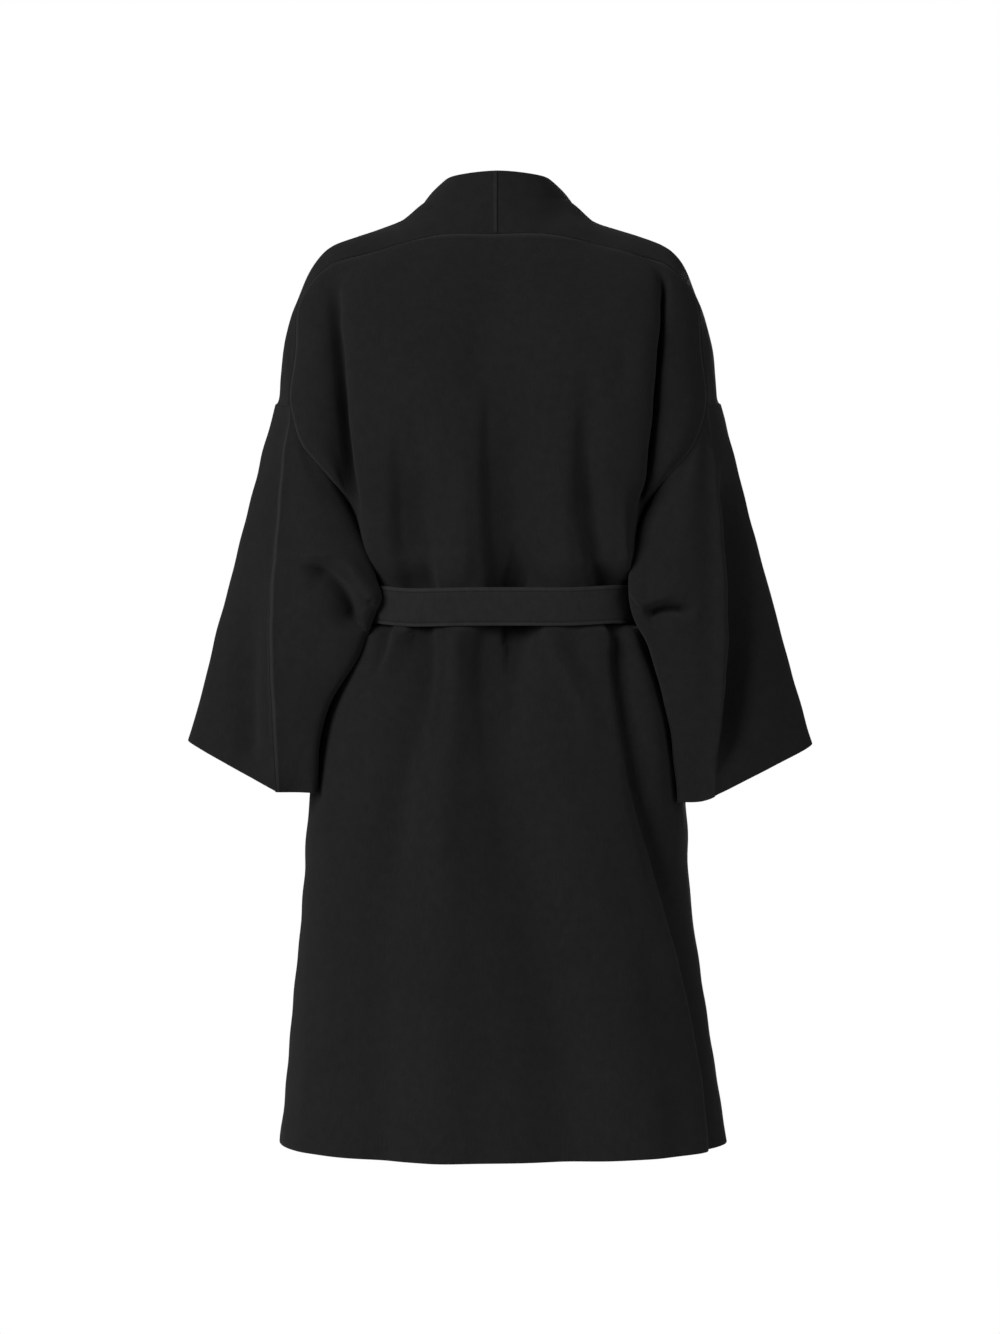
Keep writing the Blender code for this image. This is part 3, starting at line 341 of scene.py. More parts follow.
# Folds. Columns: view from the back (-1) or the front (1), spread to the left, spread to the right,
# rise at the start, rise at the end (a trough is negative), fade at the start, fade at the end, then
# the places along the path as (across, up). Left and right are those of a path that runs down; below
# and above of one that runs to the right.
BODY_FOLDS = (
    # crease over the belt, left
    (-1, 0.01, 0.04, -0.006, -0.016, 0.4, 0, (-0.1057, -0.1652), (-0.1057, -0.3396), (-0.1014, -0.3963)),
    # hollow over the belt, left
    (-1, 0.02, 0.014, -0.005, -0.009, 0.4, 0, (-0.0839, -0.1652), (-0.0839, -0.3287), (-0.0828, -0.3963)),
    # hollow beside the ridge over the belt
    (-1, 0.012, 0.005, -0.001, -0.006, 0.4, 0, (-0.0785, -0.296), (-0.0741, -0.3505), (-0.073, -0.3963)),
    # ridge over the belt, left of the centre
    (-1, 0.018, 0.013, 0.002, 0.009, 0.4, 0, (-0.0381, -0.187), (-0.0392, -0.3287), (-0.0392, -0.3941)),
    # crease over the belt, centre
    (-1, 0.009, 0.054, -0.008, -0.017, 0.4, 0, (-0.0054, -0.1003), (-0.0054, -0.3398), (0, -0.3964)),
    # hollow over the belt, centre
    (-1, 0.023, 0.034, -0.01, -0.017, 0.4, 0, (0.0229, -0.0894), (0.0239, -0.3398), (0.0272, -0.3964)),
    # ridge over the belt, right of the centre
    (-1, 0.026, 0.011, 0.001, 0.005, 0.5, 0, (0.0719, -0.1872), (0.0708, -0.3179), (0.073, -0.3941)),
    # crease over the belt, right
    (-1, 0.013, 0.013, -0.013, -0.02, 0.25, 0,
     (0.1035, -0.1325), (0.0981, -0.2524), (0.1014, -0.296), (0.1079, -0.3396), (0.1177, -0.3777),
     (0.1242, -0.3963)),
    # strip over the belt, right
    (-1, 0.006, 0.006, 0.003, 0.009, 0.5, 0, (0.1374, -0.2631), (0.1374, -0.3449), (0.1385, -0.394)),
    # soft fall between the shoulders
    (-1, 0.014, 0.014, -0.003, -0.003, 0.4, 0.4,
     (-0.0218, -0.0897), (-0.0207, -0.1441), (-0.0174, -0.1985)),
    # soft fall beside the right arm
    (-1, 0.014, 0.014, -0.003, -0.004, 0.4, 0.4, (0.1418, -0.0886), (0.1374, -0.1431), (0.1331, -0.1977)),
    # crease under the belt, left
    (-1, 0.007, 0.007, -0.013, -0.004, 0, 0.5, (-0.123, -0.4247), (-0.1274, -0.4649), (-0.1459, -0.5085)),
    # ridge under the belt, left
    (-1, 0.008, 0.01, 0.01, 0.005, 0, 0.5, (-0.1045, -0.4268), (-0.1187, -0.4682), (-0.148, -0.5139)),
    # hollow left of the hourglass fold
    (-1, 0.02, 0.005, -0.014, -0.006, 0, 0.4,
     (-0.0794, -0.4247), (-0.0718, -0.4649), (-0.075, -0.503), (-0.0903, -0.6009)),
    # hourglass fold
    (-1, 0.008, 0.013, 0.011, 0.007, 0, 0.5,
     (-0.0456, -0.4269), (-0.0478, -0.465), (-0.0467, -0.5084), (-0.05, -0.6117)),
    # crease right of the hourglass fold
    (-1, 0.01, 0.048, -0.012, -0.008, 0, 0.5,
     (-0.0076, -0.4248), (-0.0174, -0.465), (-0.0163, -0.5139), (-0.0065, -0.6117)),
    # crease down the skirt
    (-1, 0.025, 0.044, -0.007, -0.008, 0.3, 0.4,
     (-0.0022, -0.5029), (0.0043, -0.6114), (0.0217, -0.7524)),
    # hollow left of the fold down the skirt
    (-1, 0.024, 0.015, -0.009, -0.01, 0.3, 0.4,
     (-0.0803, -0.5029), (-0.1041, -0.6114), (-0.1128, -0.7524)),
    # fold down the skirt
    (-1, 0.015, 0.02, 0.008, 0.008, 0.3, 0.4, (-0.0477, -0.5029), (-0.0585, -0.6113), (-0.0607, -0.7521)),
    # pocket under the belt, centre
    (-1, 0.031, 0.011, -0.02, -0.009, 0, 0.4,
     (0.0283, -0.4248), (0.0239, -0.465), (0.0163, -0.5139), (0.0163, -0.6225)),
    # ridge under the belt, right
    (-1, 0.006, 0.016, 0.01, 0.005, 0, 0.5,
     (0.0489, -0.4269), (0.0609, -0.465), (0.0837, -0.5052), (0.1065, -0.6117)),
    # hollow beside the ridge under the belt
    (-1, 0.014, 0.014, -0.005, -0.001, 0, 0.5, (0.0848, -0.4248), (0.0935, -0.465), (0.1087, -0.5052)),
    # strip under the belt, right
    (-1, 0.009, 0.009, 0.008, 0.004, 0, 0.4,
     (0.1381, -0.4269), (0.1512, -0.4649), (0.1631, -0.503), (0.1773, -0.5791), (0.1903, -0.6662)),
    # roll beside the deep skirt fold
    (-1, 0.022, 0.009, 0.004, 0.006, 0.3, 0,
     (0.1148, -0.5137), (0.1343, -0.622), (0.1581, -0.713), (0.1841, -0.7845), (0.2144, -0.9036),
     (0.2231, -1.0097)),
    # broad fold of the skirt, left
    (-1, 0.032, 0.038, 0.009, 0.011, 0.4, 0,
     (-0.0433, -0.5029), (-0.0552, -0.6869), (-0.0584, -0.8384), (-0.0628, -1.017)),
    # hollow down the skirt
    (-1, 0.038, 0.04, -0.009, -0.015, 0.4, 0,
     (0.0325, -0.5354), (0.0368, -0.6761), (0.0628, -0.8384), (0.0779, -1.017)),
    # broad fold of the skirt, right
    (-1, 0.04, 0.026, 0.004, 0.007, 0.4, 0,
     (0.1104, -0.5895), (0.1255, -0.7302), (0.1515, -0.8709), (0.1667, -1.017)),
    # hollow at the left of the skirt
    (-1, 0.026, 0.022, -0.004, -0.008, 0.4, 0,
     (-0.115, -0.5355), (-0.1193, -0.6765), (-0.1258, -0.8391), (-0.1301, -1.0181)),
    # crease over the belt, left front
    (1, 0.01, 0.022, -0.006, -0.017, 0.4, 0, (-0.11, -0.22), (-0.106, -0.33), (-0.102, -0.392)),
    # ridge over the belt, left front
    (1, 0.014, 0.012, 0.003, 0.008, 0.5, 0, (-0.062, -0.25), (-0.066, -0.34), (-0.07, -0.39)),
    # hollow over the belt, right front
    (1, 0.01, 0.024, -0.005, -0.014, 0.4, 0, (0.05, -0.26), (0.056, -0.34), (0.062, -0.392)),
    # crease over the belt, right front
    (1, 0.01, 0.016, -0.007, -0.018, 0.4, 0, (0.112, -0.21), (0.107, -0.33), (0.102, -0.392)),
    # crease under the belt, left front
    (1, 0.009, 0.022, -0.016, -0.005, 0, 0.5, (-0.11, -0.422), (-0.118, -0.47), (-0.128, -0.56)),
    # ridge under the belt, left front
    (1, 0.01, 0.012, 0.01, 0.004, 0, 0.5, (-0.078, -0.422), (-0.084, -0.48), (-0.094, -0.59)),
    # hollow under the belt, right front
    (1, 0.009, 0.024, -0.014, -0.006, 0, 0.5, (0.062, -0.422), (0.07, -0.48), (0.084, -0.61)),
    # ridge under the belt, right front
    (1, 0.009, 0.012, 0.011, 0.004, 0, 0.5, (0.114, -0.422), (0.122, -0.48), (0.132, -0.58)),
    # broad fold of the left front
    (1, 0.032, 0.034, 0.009, 0.013, 0.4, 0, (-0.126, -0.56), (-0.14, -0.76), (-0.15, -1.015)),
    # hollow down the right front
    (1, 0.032, 0.034, -0.009, -0.015, 0.4, 0, (0.112, -0.58), (0.126, -0.78), (0.136, -1.015)),
)
LEFT_SLEEVE_FOLDS = (
    # rim of the pinched fold
    (-1, 0.004, 0.013, 0.006, 0.01, 0.35, 0,
     (-0.2238, -0.3628), (-0.2019, -0.3562), (-0.1821, -0.3584), (-0.1657, -0.3683), (-0.1536, -0.3848),
     (-0.1437, -0.4012)),
    # pocket under the rim
    (-1, 0.02, 0.004, -0.017, -0.024, 0.35, 0,
     (-0.2227, -0.3727), (-0.2051, -0.3694), (-0.1865, -0.3727), (-0.1711, -0.3848), (-0.1602, -0.399),
     (-0.1536, -0.4144)),
    # hollow outside the ridge
    (-1, 0.015, 0.013, -0.005, -0.013, 0.5, 0.2,
     (-0.2571, -0.3373), (-0.2748, -0.4481), (-0.2792, -0.5367), (-0.2748, -0.5921)),
    # crease inside the elbow
    (1, 0.008, 0.014, -0.015, -0.006, 0, 0.5, (-0.186, -0.398), (-0.222, -0.388), (-0.27, -0.37)),
    # lower crease inside the elbow
    (1, 0.01, 0.014, -0.011, -0.004, 0, 0.5, (-0.2, -0.448), (-0.236, -0.452), (-0.284, -0.466)),
)
RIGHT_SLEEVE_FOLDS = (
    # rim of the pinched fold
    (-1, 0.004, 0.01, 0.009, 0.003, 0, 0.4,
     (0.1514, -0.3979), (0.1613, -0.4089), (0.1755, -0.4034), (0.1931, -0.4001), (0.2106, -0.4067)),
    # pocket under the rim
    (-1, 0.008, 0.005, -0.023, -0.019, 0.15, 0.25,
     (0.1591, -0.4221), (0.1711, -0.4166), (0.1843, -0.4144), (0.1997, -0.4144), (0.2194, -0.4177)),
    # deep hollow outside the ridge
    (-1, 0.006, 0.019, -0.02, -0.036, 0.25, 0.3,
     (0.2471, -0.2386), (0.2593, -0.3158), (0.2648, -0.4041), (0.2648, -0.4703), (0.2549, -0.5475),
     (0.2383, -0.6137)),
    # crease inside the elbow
    (1, 0.009, 0.013, -0.015, -0.006, 0, 0.5, (0.186, -0.408), (0.224, -0.392), (0.274, -0.382)),
    # lower crease inside the elbow
    (1, 0.01, 0.014, -0.01, -0.004, 0, 0.5, (0.202, -0.464), (0.24, -0.456), (0.288, -0.46)),
)
FOLDS = {
    "body": BODY_FOLDS,
    "left": LEFT_SLEEVE_FOLDS,
    "right": RIGHT_SLEEVE_FOLDS,
}

# Columns and rows of points between the named sections and lines.
BODY_ROWS = (18, 16, 14, 14, 12, 6, 5, 10, 9, 7)
ARMHOLE_ROWS = (10, 10, 10, 12)
SHOULDER_ROWS = {"back": (10, 10, 10, 10), "front": (20, 20)}
BACK_COLUMNS = (38, 34, 12, 12, 10, 10)  # from the centre out
FRONT_COLUMNS = (10, 8, 10, 20, 26)
STRIP_COLUMNS = (6, 8, 8, 8)
SLEEVE_ROWS = (38, 40, 40, 40, 38)
SLEEVE_BACK_COLUMNS = (26, 34, 20, 10)
SLEEVE_FRONT_COLUMNS = (20, 22, 42)
HOLE_PICKS = {"back": (0, 1, 2.5, 3.5, 4), "front": (0, 1.5, 3, 4)}  # armhole sections of the lines
NEAR_FOLD = 1.4  # the columns crowd towards a crease by this power
COLLAR_LEAD = 14  # rows below the shoulder over which the collar's direction is taken
ROLL_LEAD = 5  # columns before the roll over which the strip's direction is taken
EDGES = ("first_row", "last_column", "last_row", "first_column")
EASE = 0.03  # a shared edge pulls on the cloth this far in
ROUND_STEPS = 6  # steps round a free edge
FOLD_SIZES = 7  # columns of a fold before its places
PATH_STEPS = 40  # steps along the path of a fold
FOLD_REACH = 3  # a fold is worked out this many spreads away from its path
FACE_SOFT = 2.5  # how fast a fold ends where the cloth turns away from its view
PLEAT_PAST = 0.0065  # the trough of the deep skirt fold lies this far past the line that it follows
PLEAT = (0.006, 0.013, -0.020, -0.014, 0, 0)  # its spreads, rises and fades, as in the folds

# Small rises and falls of the cloth.
UNEVEN_SEED = 11
UNEVEN_WAVES = 9
UNEVEN_PACE = (50, 150)  # least and greatest pace of a wave, in radians a metre
UNEVEN_PHASE = 6.28  # a wave starts anywhere in about one turn

# Grains of the felt. Columns: scale, detail, roughness, stretch down the cloth.
GRAINS = {
    "fuzz": (1500, 5, 0.65, 1),
    "mottle": (95, 4, 0.6, 1),
    "nap": (520, 3, 0.6, 0.16),
    "cloud": (9, 2, 0.5, 1),
    "speck": (430, 2, 0.5, 1),
}
# How each grain shades the wool. Columns: grain from, grain to, shade from, shade to.
GRAIN_SHADES = {
    "mottle": (0.3, 0.7, 0.9, 1.1),
    "nap": (0.3, 0.7, 0.9, 1.1),
    "fuzz": (0.25, 0.75, 0.75, 1.25),
    "cloud": (0.3, 0.7, 0.94, 1.06),
    "speck": (0.70, 0.78, 1.0, 1.5),
}
SEAM_HIGHLIGHT_AND_LINE_DARKENING = {"ridge": 0.55, "groove": -0.6}  # how much the painted highlight on the ridge beside a seam lightens the wool, and how much the seam's groove line darkens it
RELIEF = {"fuzz": 0.0005, "nap": 0.0003, "mottle": 0.0006, "ridge": 0.0009, "groove": -0.0008}
GROOVE_FLOOR = 0.15  # half width in millimetres of the bottom of a seam's groove
NO_SEAM = 100.0  # distance of a point that lies by no seam, in millimetres
RIDGE_FOOT = (0.4, 1.6)  # the ridge beside a seam, with its painted highlight, rises between these distances, in millimetres
ROUGH = (0.2, 0.8, 0.82, 1.0)  # roughness by the fuzz, in the same columns
SHEEN_ROUGH = 0.6
SHEEN_TINT = (0.9, 0.9, 0.92, 1)
BLUER = 1.02  # the wool's blue is this much stronger than its red and green

# Studio lights, as place and share of the key's power.
LIGHTS = {
    "key": ((-2.8, -3.1, 0.7), 1.29),
    "fill": ((3.0, -2.2, 0.0), 0.29),
    "front_key": ((0.4, 3.7, -0.1), 0.55),
}
LIGHT_SIZE = 2.2
LIGHT_AIM = (0, 0, -0.45)
FLOOR_HALF = 1.15
FLOOR_TONE = 0.9
FLOOR_ROUGH = 0.9
SENSOR = 36  # millimetres, as the lens


def smooth(value):
    """Soft step from 0 to 1."""
    held = np.clip(value, 0, 1)
    return held * held * (3 - 2 * held)


def powered(value, power):
    """A power that keeps the sign of its base."""
    return np.sign(value) * np.abs(value) ** power


def unit(vectors):
    """Vectors of length one."""
    return vectors / np.maximum(np.linalg.norm(vectors, axis=-1, keepdims=True), 1e-9)


def mirrored(points):
    """Points on the other side of the body."""
    return np.asarray(points, float) * (-1, 1, 1)


def even(count):
    """Shares of a span, from its start on."""
    return np.arange(count) / count


def spline(stations, spans):
    """Smooth curves through the stations along the first axis, at the shares given for each span."""
    steps = np.diff(stations, axis=0)
    lengths = np.linalg.norm(steps, axis=-1, keepdims=True) + 1e-5
    slopes = steps / lengths
    tangents = np.empty_like(stations)
    weights = lengths[:-1] + lengths[1:]
    tangents[1:-1] = (slopes[:-1] * lengths[1:] + slopes[1:] * lengths[:-1]) / weights
    tangents[0] = 1.5 * slopes[0] - 0.5 * tangents[1]
    tangents[-1] = 1.5 * slopes[-1] - 0.5 * tangents[-2]
    rows = []
    for index, shares in enumerate(spans):
        share = np.asarray(shares).reshape(-1, *(1,) * (stations.ndim - 1))
        rest = 1 - share
        rows.append(
            (1 + 2 * share) * rest**2 * stations[index]
            + share * rest**2 * lengths[index] * tangents[index]
            + (1 + 2 * rest) * share**2 * stations[index + 1]
            - rest * share**2 * lengths[index] * tangents[index + 1]
        )
    rows.append(stations[-1:])
    return np.concatenate(rows)


def lofted(net, row_spans, column_spans):
    """Grid of points on the smooth surface through a net of named sections and lines."""
    rows = spline(np.asarray(net, float), row_spans)
    return spline(rows.transpose(1, 0, 2), column_spans).transpose(1, 0, 2)


def body_point(section, angle, side):
    """Point of a body section, at an angle from the centre back towards a side (1 right, -1 left)."""
    height, left, right, back, front, sag, _, squareness = BODY[section]
    across = math.sin(math.radians(angle))
    behind = math.cos(math.radians(angle))
    half = (right if side > 0 else left) if across >= 0 else (left if side > 0 else right)
    depth = back if behind >= 0 else front
    return (
        side * half * powered(across, squareness),
        -depth * powered(behind, squareness),
        height - sag * max(behind, 0) ** 2,
    )


def back_net():
    """Net of the back, from the hem to the shoulder seam."""
    net = []
    for section in BODY:
        angles = np.array(BACK_ANGLES, float)
        angles[2] = FOLD_ANGLES[section]
        left = [body_point(section, angle, -1) for angle in angles[:0:-1]]
        net.append(left + [body_point(section, angle, 1) for angle in angles])
    for name, row in UPPER_BACK.items():
        halves = {}
        for side, (out, arm_out, *deep) in CREASE_SHIFT.items():
            half = np.array(row, float)
            if name not in ("armpit", "low_armhole", "shoulder"):
                half[2:4, 0] += out
                half[4, 0] += arm_out
                half[4:, 1] += deep
            halves[side] = half
        net.append(np.concatenate([mirrored(halves[-1])[:0:-1], halves[1]]))
    return net


def past_centre(section, reach, side):
    """Angle past the centre front at which a front reaches so far over to the other side."""
    _, left, right, *_, squareness = BODY[section]
    half = left if side > 0 else right
    return math.degrees(math.asin((reach / half) ** (1 / squareness)))


def front_net(side):
    """Net of one front up to the roll, from the hem over the shoulder and round to the centre back."""
    net = []
    for section, row in BODY.items():
        past = past_centre(section, row[6], side)
        angles = [90 + share * (90 + past) for share in FRONT_SHARES]
        net.append(np.array([body_point(section, angle, side) for angle in angles]) * (side, 1, 1))
    net += list(UPPER_FRONT.values())
    net.append(mirrored(net[-2]))
    return np.array(net, float)


def past_roll(line, width, angle):
    """Stations past the roll: the cloth goes straight on, stands out or turns back over the front."""
    roll = line[-1]
    ahead = unit(line[-1] - line[-3])
    upward = np.array((0, 0, 1.0))
    outward = unit(np.cross(ahead, upward))
    outward = outward * np.sign(outward[1])
    turn = math.radians(min(angle, FREE_TURN))
    heading = ahead * math.cos(turn) + outward * math.sin(turn)
    free = np.array([roll + heading * width * share for share in STRIP_SHARES])
    back_along = np.cumsum([0, *np.linalg.norm(np.diff(line[::-1], axis=0), axis=1)])
    laid = []
    for share in STRIP_SHARES:
        place, beyond = (
            np.array([np.interp(reach, back_along, line[::-1, axis]) for axis in range(3)])
            for reach in (width * share, width * share + LAPEL_STEP)
        )
        out = unit(np.cross(place - beyond, upward))
        rise = LAPEL_LIFT + (LAPEL_REST - LAPEL_LIFT) * smooth(share)
        laid.append(place + out * np.sign(out[1]) * rise)
    laid[0] = roll + (ahead + outward) * LAPEL_LIFT / 2
    lie = smooth((angle - LIE_FROM) / (180 - LIE_FROM))
    return free + (np.array(laid) - free) * lie


def edge_strip(panel, row_spans, side):
    """Cloth past the roll, row by row: flat edge, then lapel, then the collar round the neck."""
    sections = [*BODY, *UPPER_FRONT]
    places = dict(zip(sections, np.cumsum([0] + [len(span) for span in row_spans])))
    flat = []
    for section in sections[: sections.index("over_belt")]:
        reaches = [BODY[section][6] + EDGE_STRIP * share for share in STRIP_SHARES]
        angles = [180 + past_centre(section, reach, side) for reach in reaches]
        flat.append(np.array([body_point(section, angle, side) for angle in angles]) * (side, 1, 1))
    rows = list(spline(np.array(flat), row_spans[: len(flat) - 1]))
    turns = [places[section] for section in LAPEL]
    widths, angles = np.array(list(LAPEL.values())).T
    for index in range(len(rows), places["shoulder"] + 1):
        width = np.interp(index, turns, widths)
        angle = np.interp(index, turns, angles)
        rows.append(past_roll(panel[index], width, angle))
    stations = [rows[-COLLAR_LEAD], rows[-1], *COLLAR.values()]
    stations.append(mirrored(stations[-2]))
    first = sections.index("shoulder")
    ring = spline(np.array(stations, float), [even(1), *row_spans[first:]])
    return np.array(rows + list(ring[2:]))


def with_strip(panel, strip):
    """A front's rows carried on smoothly over the roll to the outer edge."""
    stations = np.array([panel[:, -ROLL_LEAD], panel[:, -1], *strip.transpose(1, 0, 2)])
    spans = [even(1)] + [even(count) for count in STRIP_COLUMNS]
    past = spline(stations, spans)[2:]
    return np.concatenate([panel, past.transpose(1, 0, 2)], axis=1)


def normals(grid, facing):
    """Outward normals, halfway between the cells on both sides of each point."""
    tangents = []
    for lines in (grid, grid.swapaxes(0, 1)):
        steps = unit(np.diff(lines, axis=0))
        tangents.append(np.concatenate([steps[:1], steps[1:] + steps[:-1], steps[-1:]]))
    down, over = tangents
    return unit(np.cross(unit(over.swapaxes(0, 1)), unit(down))) * facing


def unevenness(places):
    """Small soft rises and falls of the cloth, as numbers of about one."""
    chance = np.random.default_rng(UNEVEN_SEED)
    total = np.zeros(places.shape[:-1])
    for _ in range(UNEVEN_WAVES):
        waves = unit(chance.normal(size=3)) * chance.uniform(*UNEVEN_PACE)
        total += np.sin(places @ waves + chance.uniform(0, UNEVEN_PHASE))
    return total / math.sqrt(UNEVEN_WAVES)


def fold_path(points):
    """Smooth path through a fold's places."""
    spans = [even(PATH_STEPS // (len(points) - 1))] * (len(points) - 1)
    return spline(np.array(points, float)[:, None], spans)[:, 0]


def fold_height(places, path, left, right, first, last, fade_in, fade_out):
    """Height of a fold at places given as (across, up)."""
    away = places[:, None, :] - path
    nearest = np.linalg.norm(away, axis=-1).argmin(axis=-1)
    pace = np.gradient(path, axis=0)[nearest]
    heading = unit(pace)
    offset = np.take_along_axis(away, nearest[:, None, None], axis=1)[:, 0]
    across = -heading[:, 1] * offset[:, 0] + heading[:, 0] * offset[:, 1]
    onward = (heading * offset).sum(axis=-1)
    past = onward / np.linalg.norm(pace, axis=-1)
    share = np.clip((nearest + past) / (len(path) - 1), 0, 1)
    before = (nearest == 0) & (onward < 0)
    after = (nearest == len(path) - 1) & (onward > 0)
    beyond = np.where(before | after, onward, 0)
    spread = np.where(across < 0, left, right)
    weight = np.exp(-((np.hypot(across, beyond) / spread) ** 2))
    if fade_in:
        weight = weight * smooth(share / fade_in)
    if fade_out:
        weight = weight * smooth((1 - share) / fade_out)
    return weight * (first + (last - first) * share)


def folded(grid, facing, group, cloth, extra=()):
    """Grid with the folds of its group pressed in or raised along its normals."""
    outward = normals(grid, facing)
    flat = grid[..., (0, 2)]
    rise = unevenness(grid) * cloth.uneven
    for row in (*FOLDS[group], *extra):
        face, *sizes = row[:FOLD_SIZES]
        path = fold_path(row[FOLD_SIZES:])
        reach = FOLD_REACH * max(sizes[:2])
        near = ((flat > path.min(axis=0) - reach) & (flat < path.max(axis=0) + reach)).all(axis=-1)
        height = fold_height(flat[near], path, *sizes)
        rise[near] += height * smooth(outward[near][:, 1] * face * FACE_SOFT) * cloth.fold_depth
    if group == "body":
        off_belt = np.abs(grid[..., 2] - BELT_HEIGHT + BELT_DROOP / 2) - BELT_HOLD
        rise = np.where(rise > 0, rise * smooth(off_belt / BELT_PUFF), rise)
        outward[..., 2] *= smooth((off_belt - LEVEL_PAST) / LEVEL_FADE)
        outward = unit(outward)
    return grid + outward * rise[..., None]


def layered(grid, side):
    """Fronts set apart where they cross: the left one goes in, the right one rises over its lapel."""
    across, deep, up = grid[..., 0], grid[..., 1], grid[..., 2]
    crossed = smooth((CROSS_TOP - up) / CROSS_FADE[side])
    if side < 0:
        off_break = np.hypot(across - BREAK[0], up - BREAK[1])
        shift = -LAYER_IN * smooth((across - CROSS_LEFT) / CROSS_SOFT) * crossed
        shift = shift - BREAK_IN * np.exp(-((off_break / CROSS_SOFT) ** 2))
    else:
        shift = LAYER_OUT * smooth((CROSS_HALF - np.abs(across)) / CROSS_SOFT)
        shift = shift * smooth((up - CROSS_LOW) / CROSS_SOFT) * crossed
    moved = grid.copy()
    moved[..., 1] += shift * smooth(deep / CROSS_SOFT)
    return moved


def eased(grid, target, reach=EASE):
    """Grid moved near its first column, so that this column lies on the target."""
    away = np.cumsum(np.linalg.norm(np.diff(grid, axis=1), axis=-1), axis=1)
    weight = np.concatenate([np.ones((len(grid), 1)), 1 - smooth(away / reach)], axis=1)
    return grid + (target - grid[:, 0])[:, None] * weight[..., None]


def turned(grid, edge):
    """The same grid seen from one of its edges, so that this edge is its first column."""
    seen = grid.swapaxes(0, 1) if edge.endswith("row") else grid
    return seen[:, ::-1] if edge.startswith("last") else seen


def eased_at(grid, edge, target, reach=EASE):
    """Grid moved near any of its edges, so that this edge lies on the target."""
    moved = grid.copy()
    turned(moved, edge)[:] = eased(turned(grid, edge), target, reach)
    return moved


def arc_shares(points, picks):
    """For each span between picked points, the shares of its length at which the points lie."""
    lengths = np.concatenate([[0], np.cumsum(np.linalg.norm(np.diff(points, axis=0), axis=1))])
    spans = []
    for start, end in zip(picks, picks[1:]):
        spans.append((lengths[start:end] - lengths[start]) / (lengths[end] - lengths[start]))
    return spans


def neck_picks():
    """Places of the front's sections along the shoulder seam, from the arm to the centre back."""
    centre, quarter, edge, crease, arm_back, arm = BACK_COLUMNS
    turn = quarter // 2
    corner = centre * 2 // 5
    steps = (arm, arm_back + crease + edge, turn, quarter - turn, corner, centre - corner)
    return np.cumsum((0,) + steps)


def body_grids(cloth):
    """Outer faces of the back and the two fronts, sharing their points along the seams."""
    row_spans, front_spans = (
        [even(count) for count in BODY_ROWS + ARMHOLE_ROWS + SHOULDER_ROWS[piece]]
        for piece in ("back", "front")
    )
    right_spans = [even(count) for count in BACK_COLUMNS]
    right_spans[1] = 1 - (1 - right_spans[1]) ** NEAR_FOLD
    left_spans = [np.concatenate([[0], 1 - span[:0:-1]]) for span in right_spans[::-1]]
    column_spans = left_spans + right_spans
    net = np.array(back_net(), float)
    line = net[len(BODY) - 3 :: -1, len(BACK_ANGLES) + 1]
    pleat = [(across + PLEAT_PAST, up) for across, _, up in line]
    back = lofted(net, row_spans, column_spans)
    back = folded(back, 1, "body", cloth, [(-1, *PLEAT, *pleat)])
    armpit = sum(BODY_ROWS)
    junction = armpit + sum(ARMHOLE_ROWS)
    top = len(back) - 1
    half = len(back[0]) // 2
    grids = {"back": back}
    for name, side in (("front_left", -1), ("front_right", 1)):
        flip = (side, 1, 1)
        yoke = back[-1, half:][::-1] if side > 0 else back[-1, : half + 1]
        all_spans = front_spans + arc_shares(yoke, neck_picks()) + [even(1)]
        panel = lofted(front_net(side), all_spans, [even(count) for count in FRONT_COLUMNS])
        panel = folded(panel * flip, side, "body", cloth) * flip
        grid = with_strip(panel, edge_strip(panel, all_spans, side))[:-1]
        grid = layered(grid * flip, side)
        edge = -1 if side > 0 else 0
        seam = grid[:, 0].copy()
        seam[: armpit + 1] = back[: armpit + 1, edge]
        seam[junction : top + 1] = back[junction:, edge]
        seam[top:] = yoke
        grid = eased(grid, seam)
        centre = grid[-1].copy()
        centre[:, 0] = 0
        grids[name] = eased_at(grid, "last_row", centre)
    return grids, armpit, junction


def along(line, places):
    """Points of a line at places counted in its own points, which may lie between two of them."""
    count = np.arange(len(line))
    return np.stack([np.interp(places, count, values) for values in line.T], axis=-1)


def ridged(grid, half, side, rise):
    """Sleeve half with its ridge raised, as a round roll on the back and a steep wall in front."""
    edge = "first_column" if half == "back" else "last_column"
    weight = np.exp(-((edge_distance(grid, [edge]) / RIDGE_SPREAD[half]) ** 2))
    down = np.linspace(0, 1, len(grid))[:, None]
    fall_from, fall = RIDGE_END
    weight = weight * smooth(down / RIDGE_START)
    weight = weight * (1 - fall * smooth((down - fall_from) / (1 - fall_from)))
    return grid + normals(grid, side) * (weight * rise)[..., None]


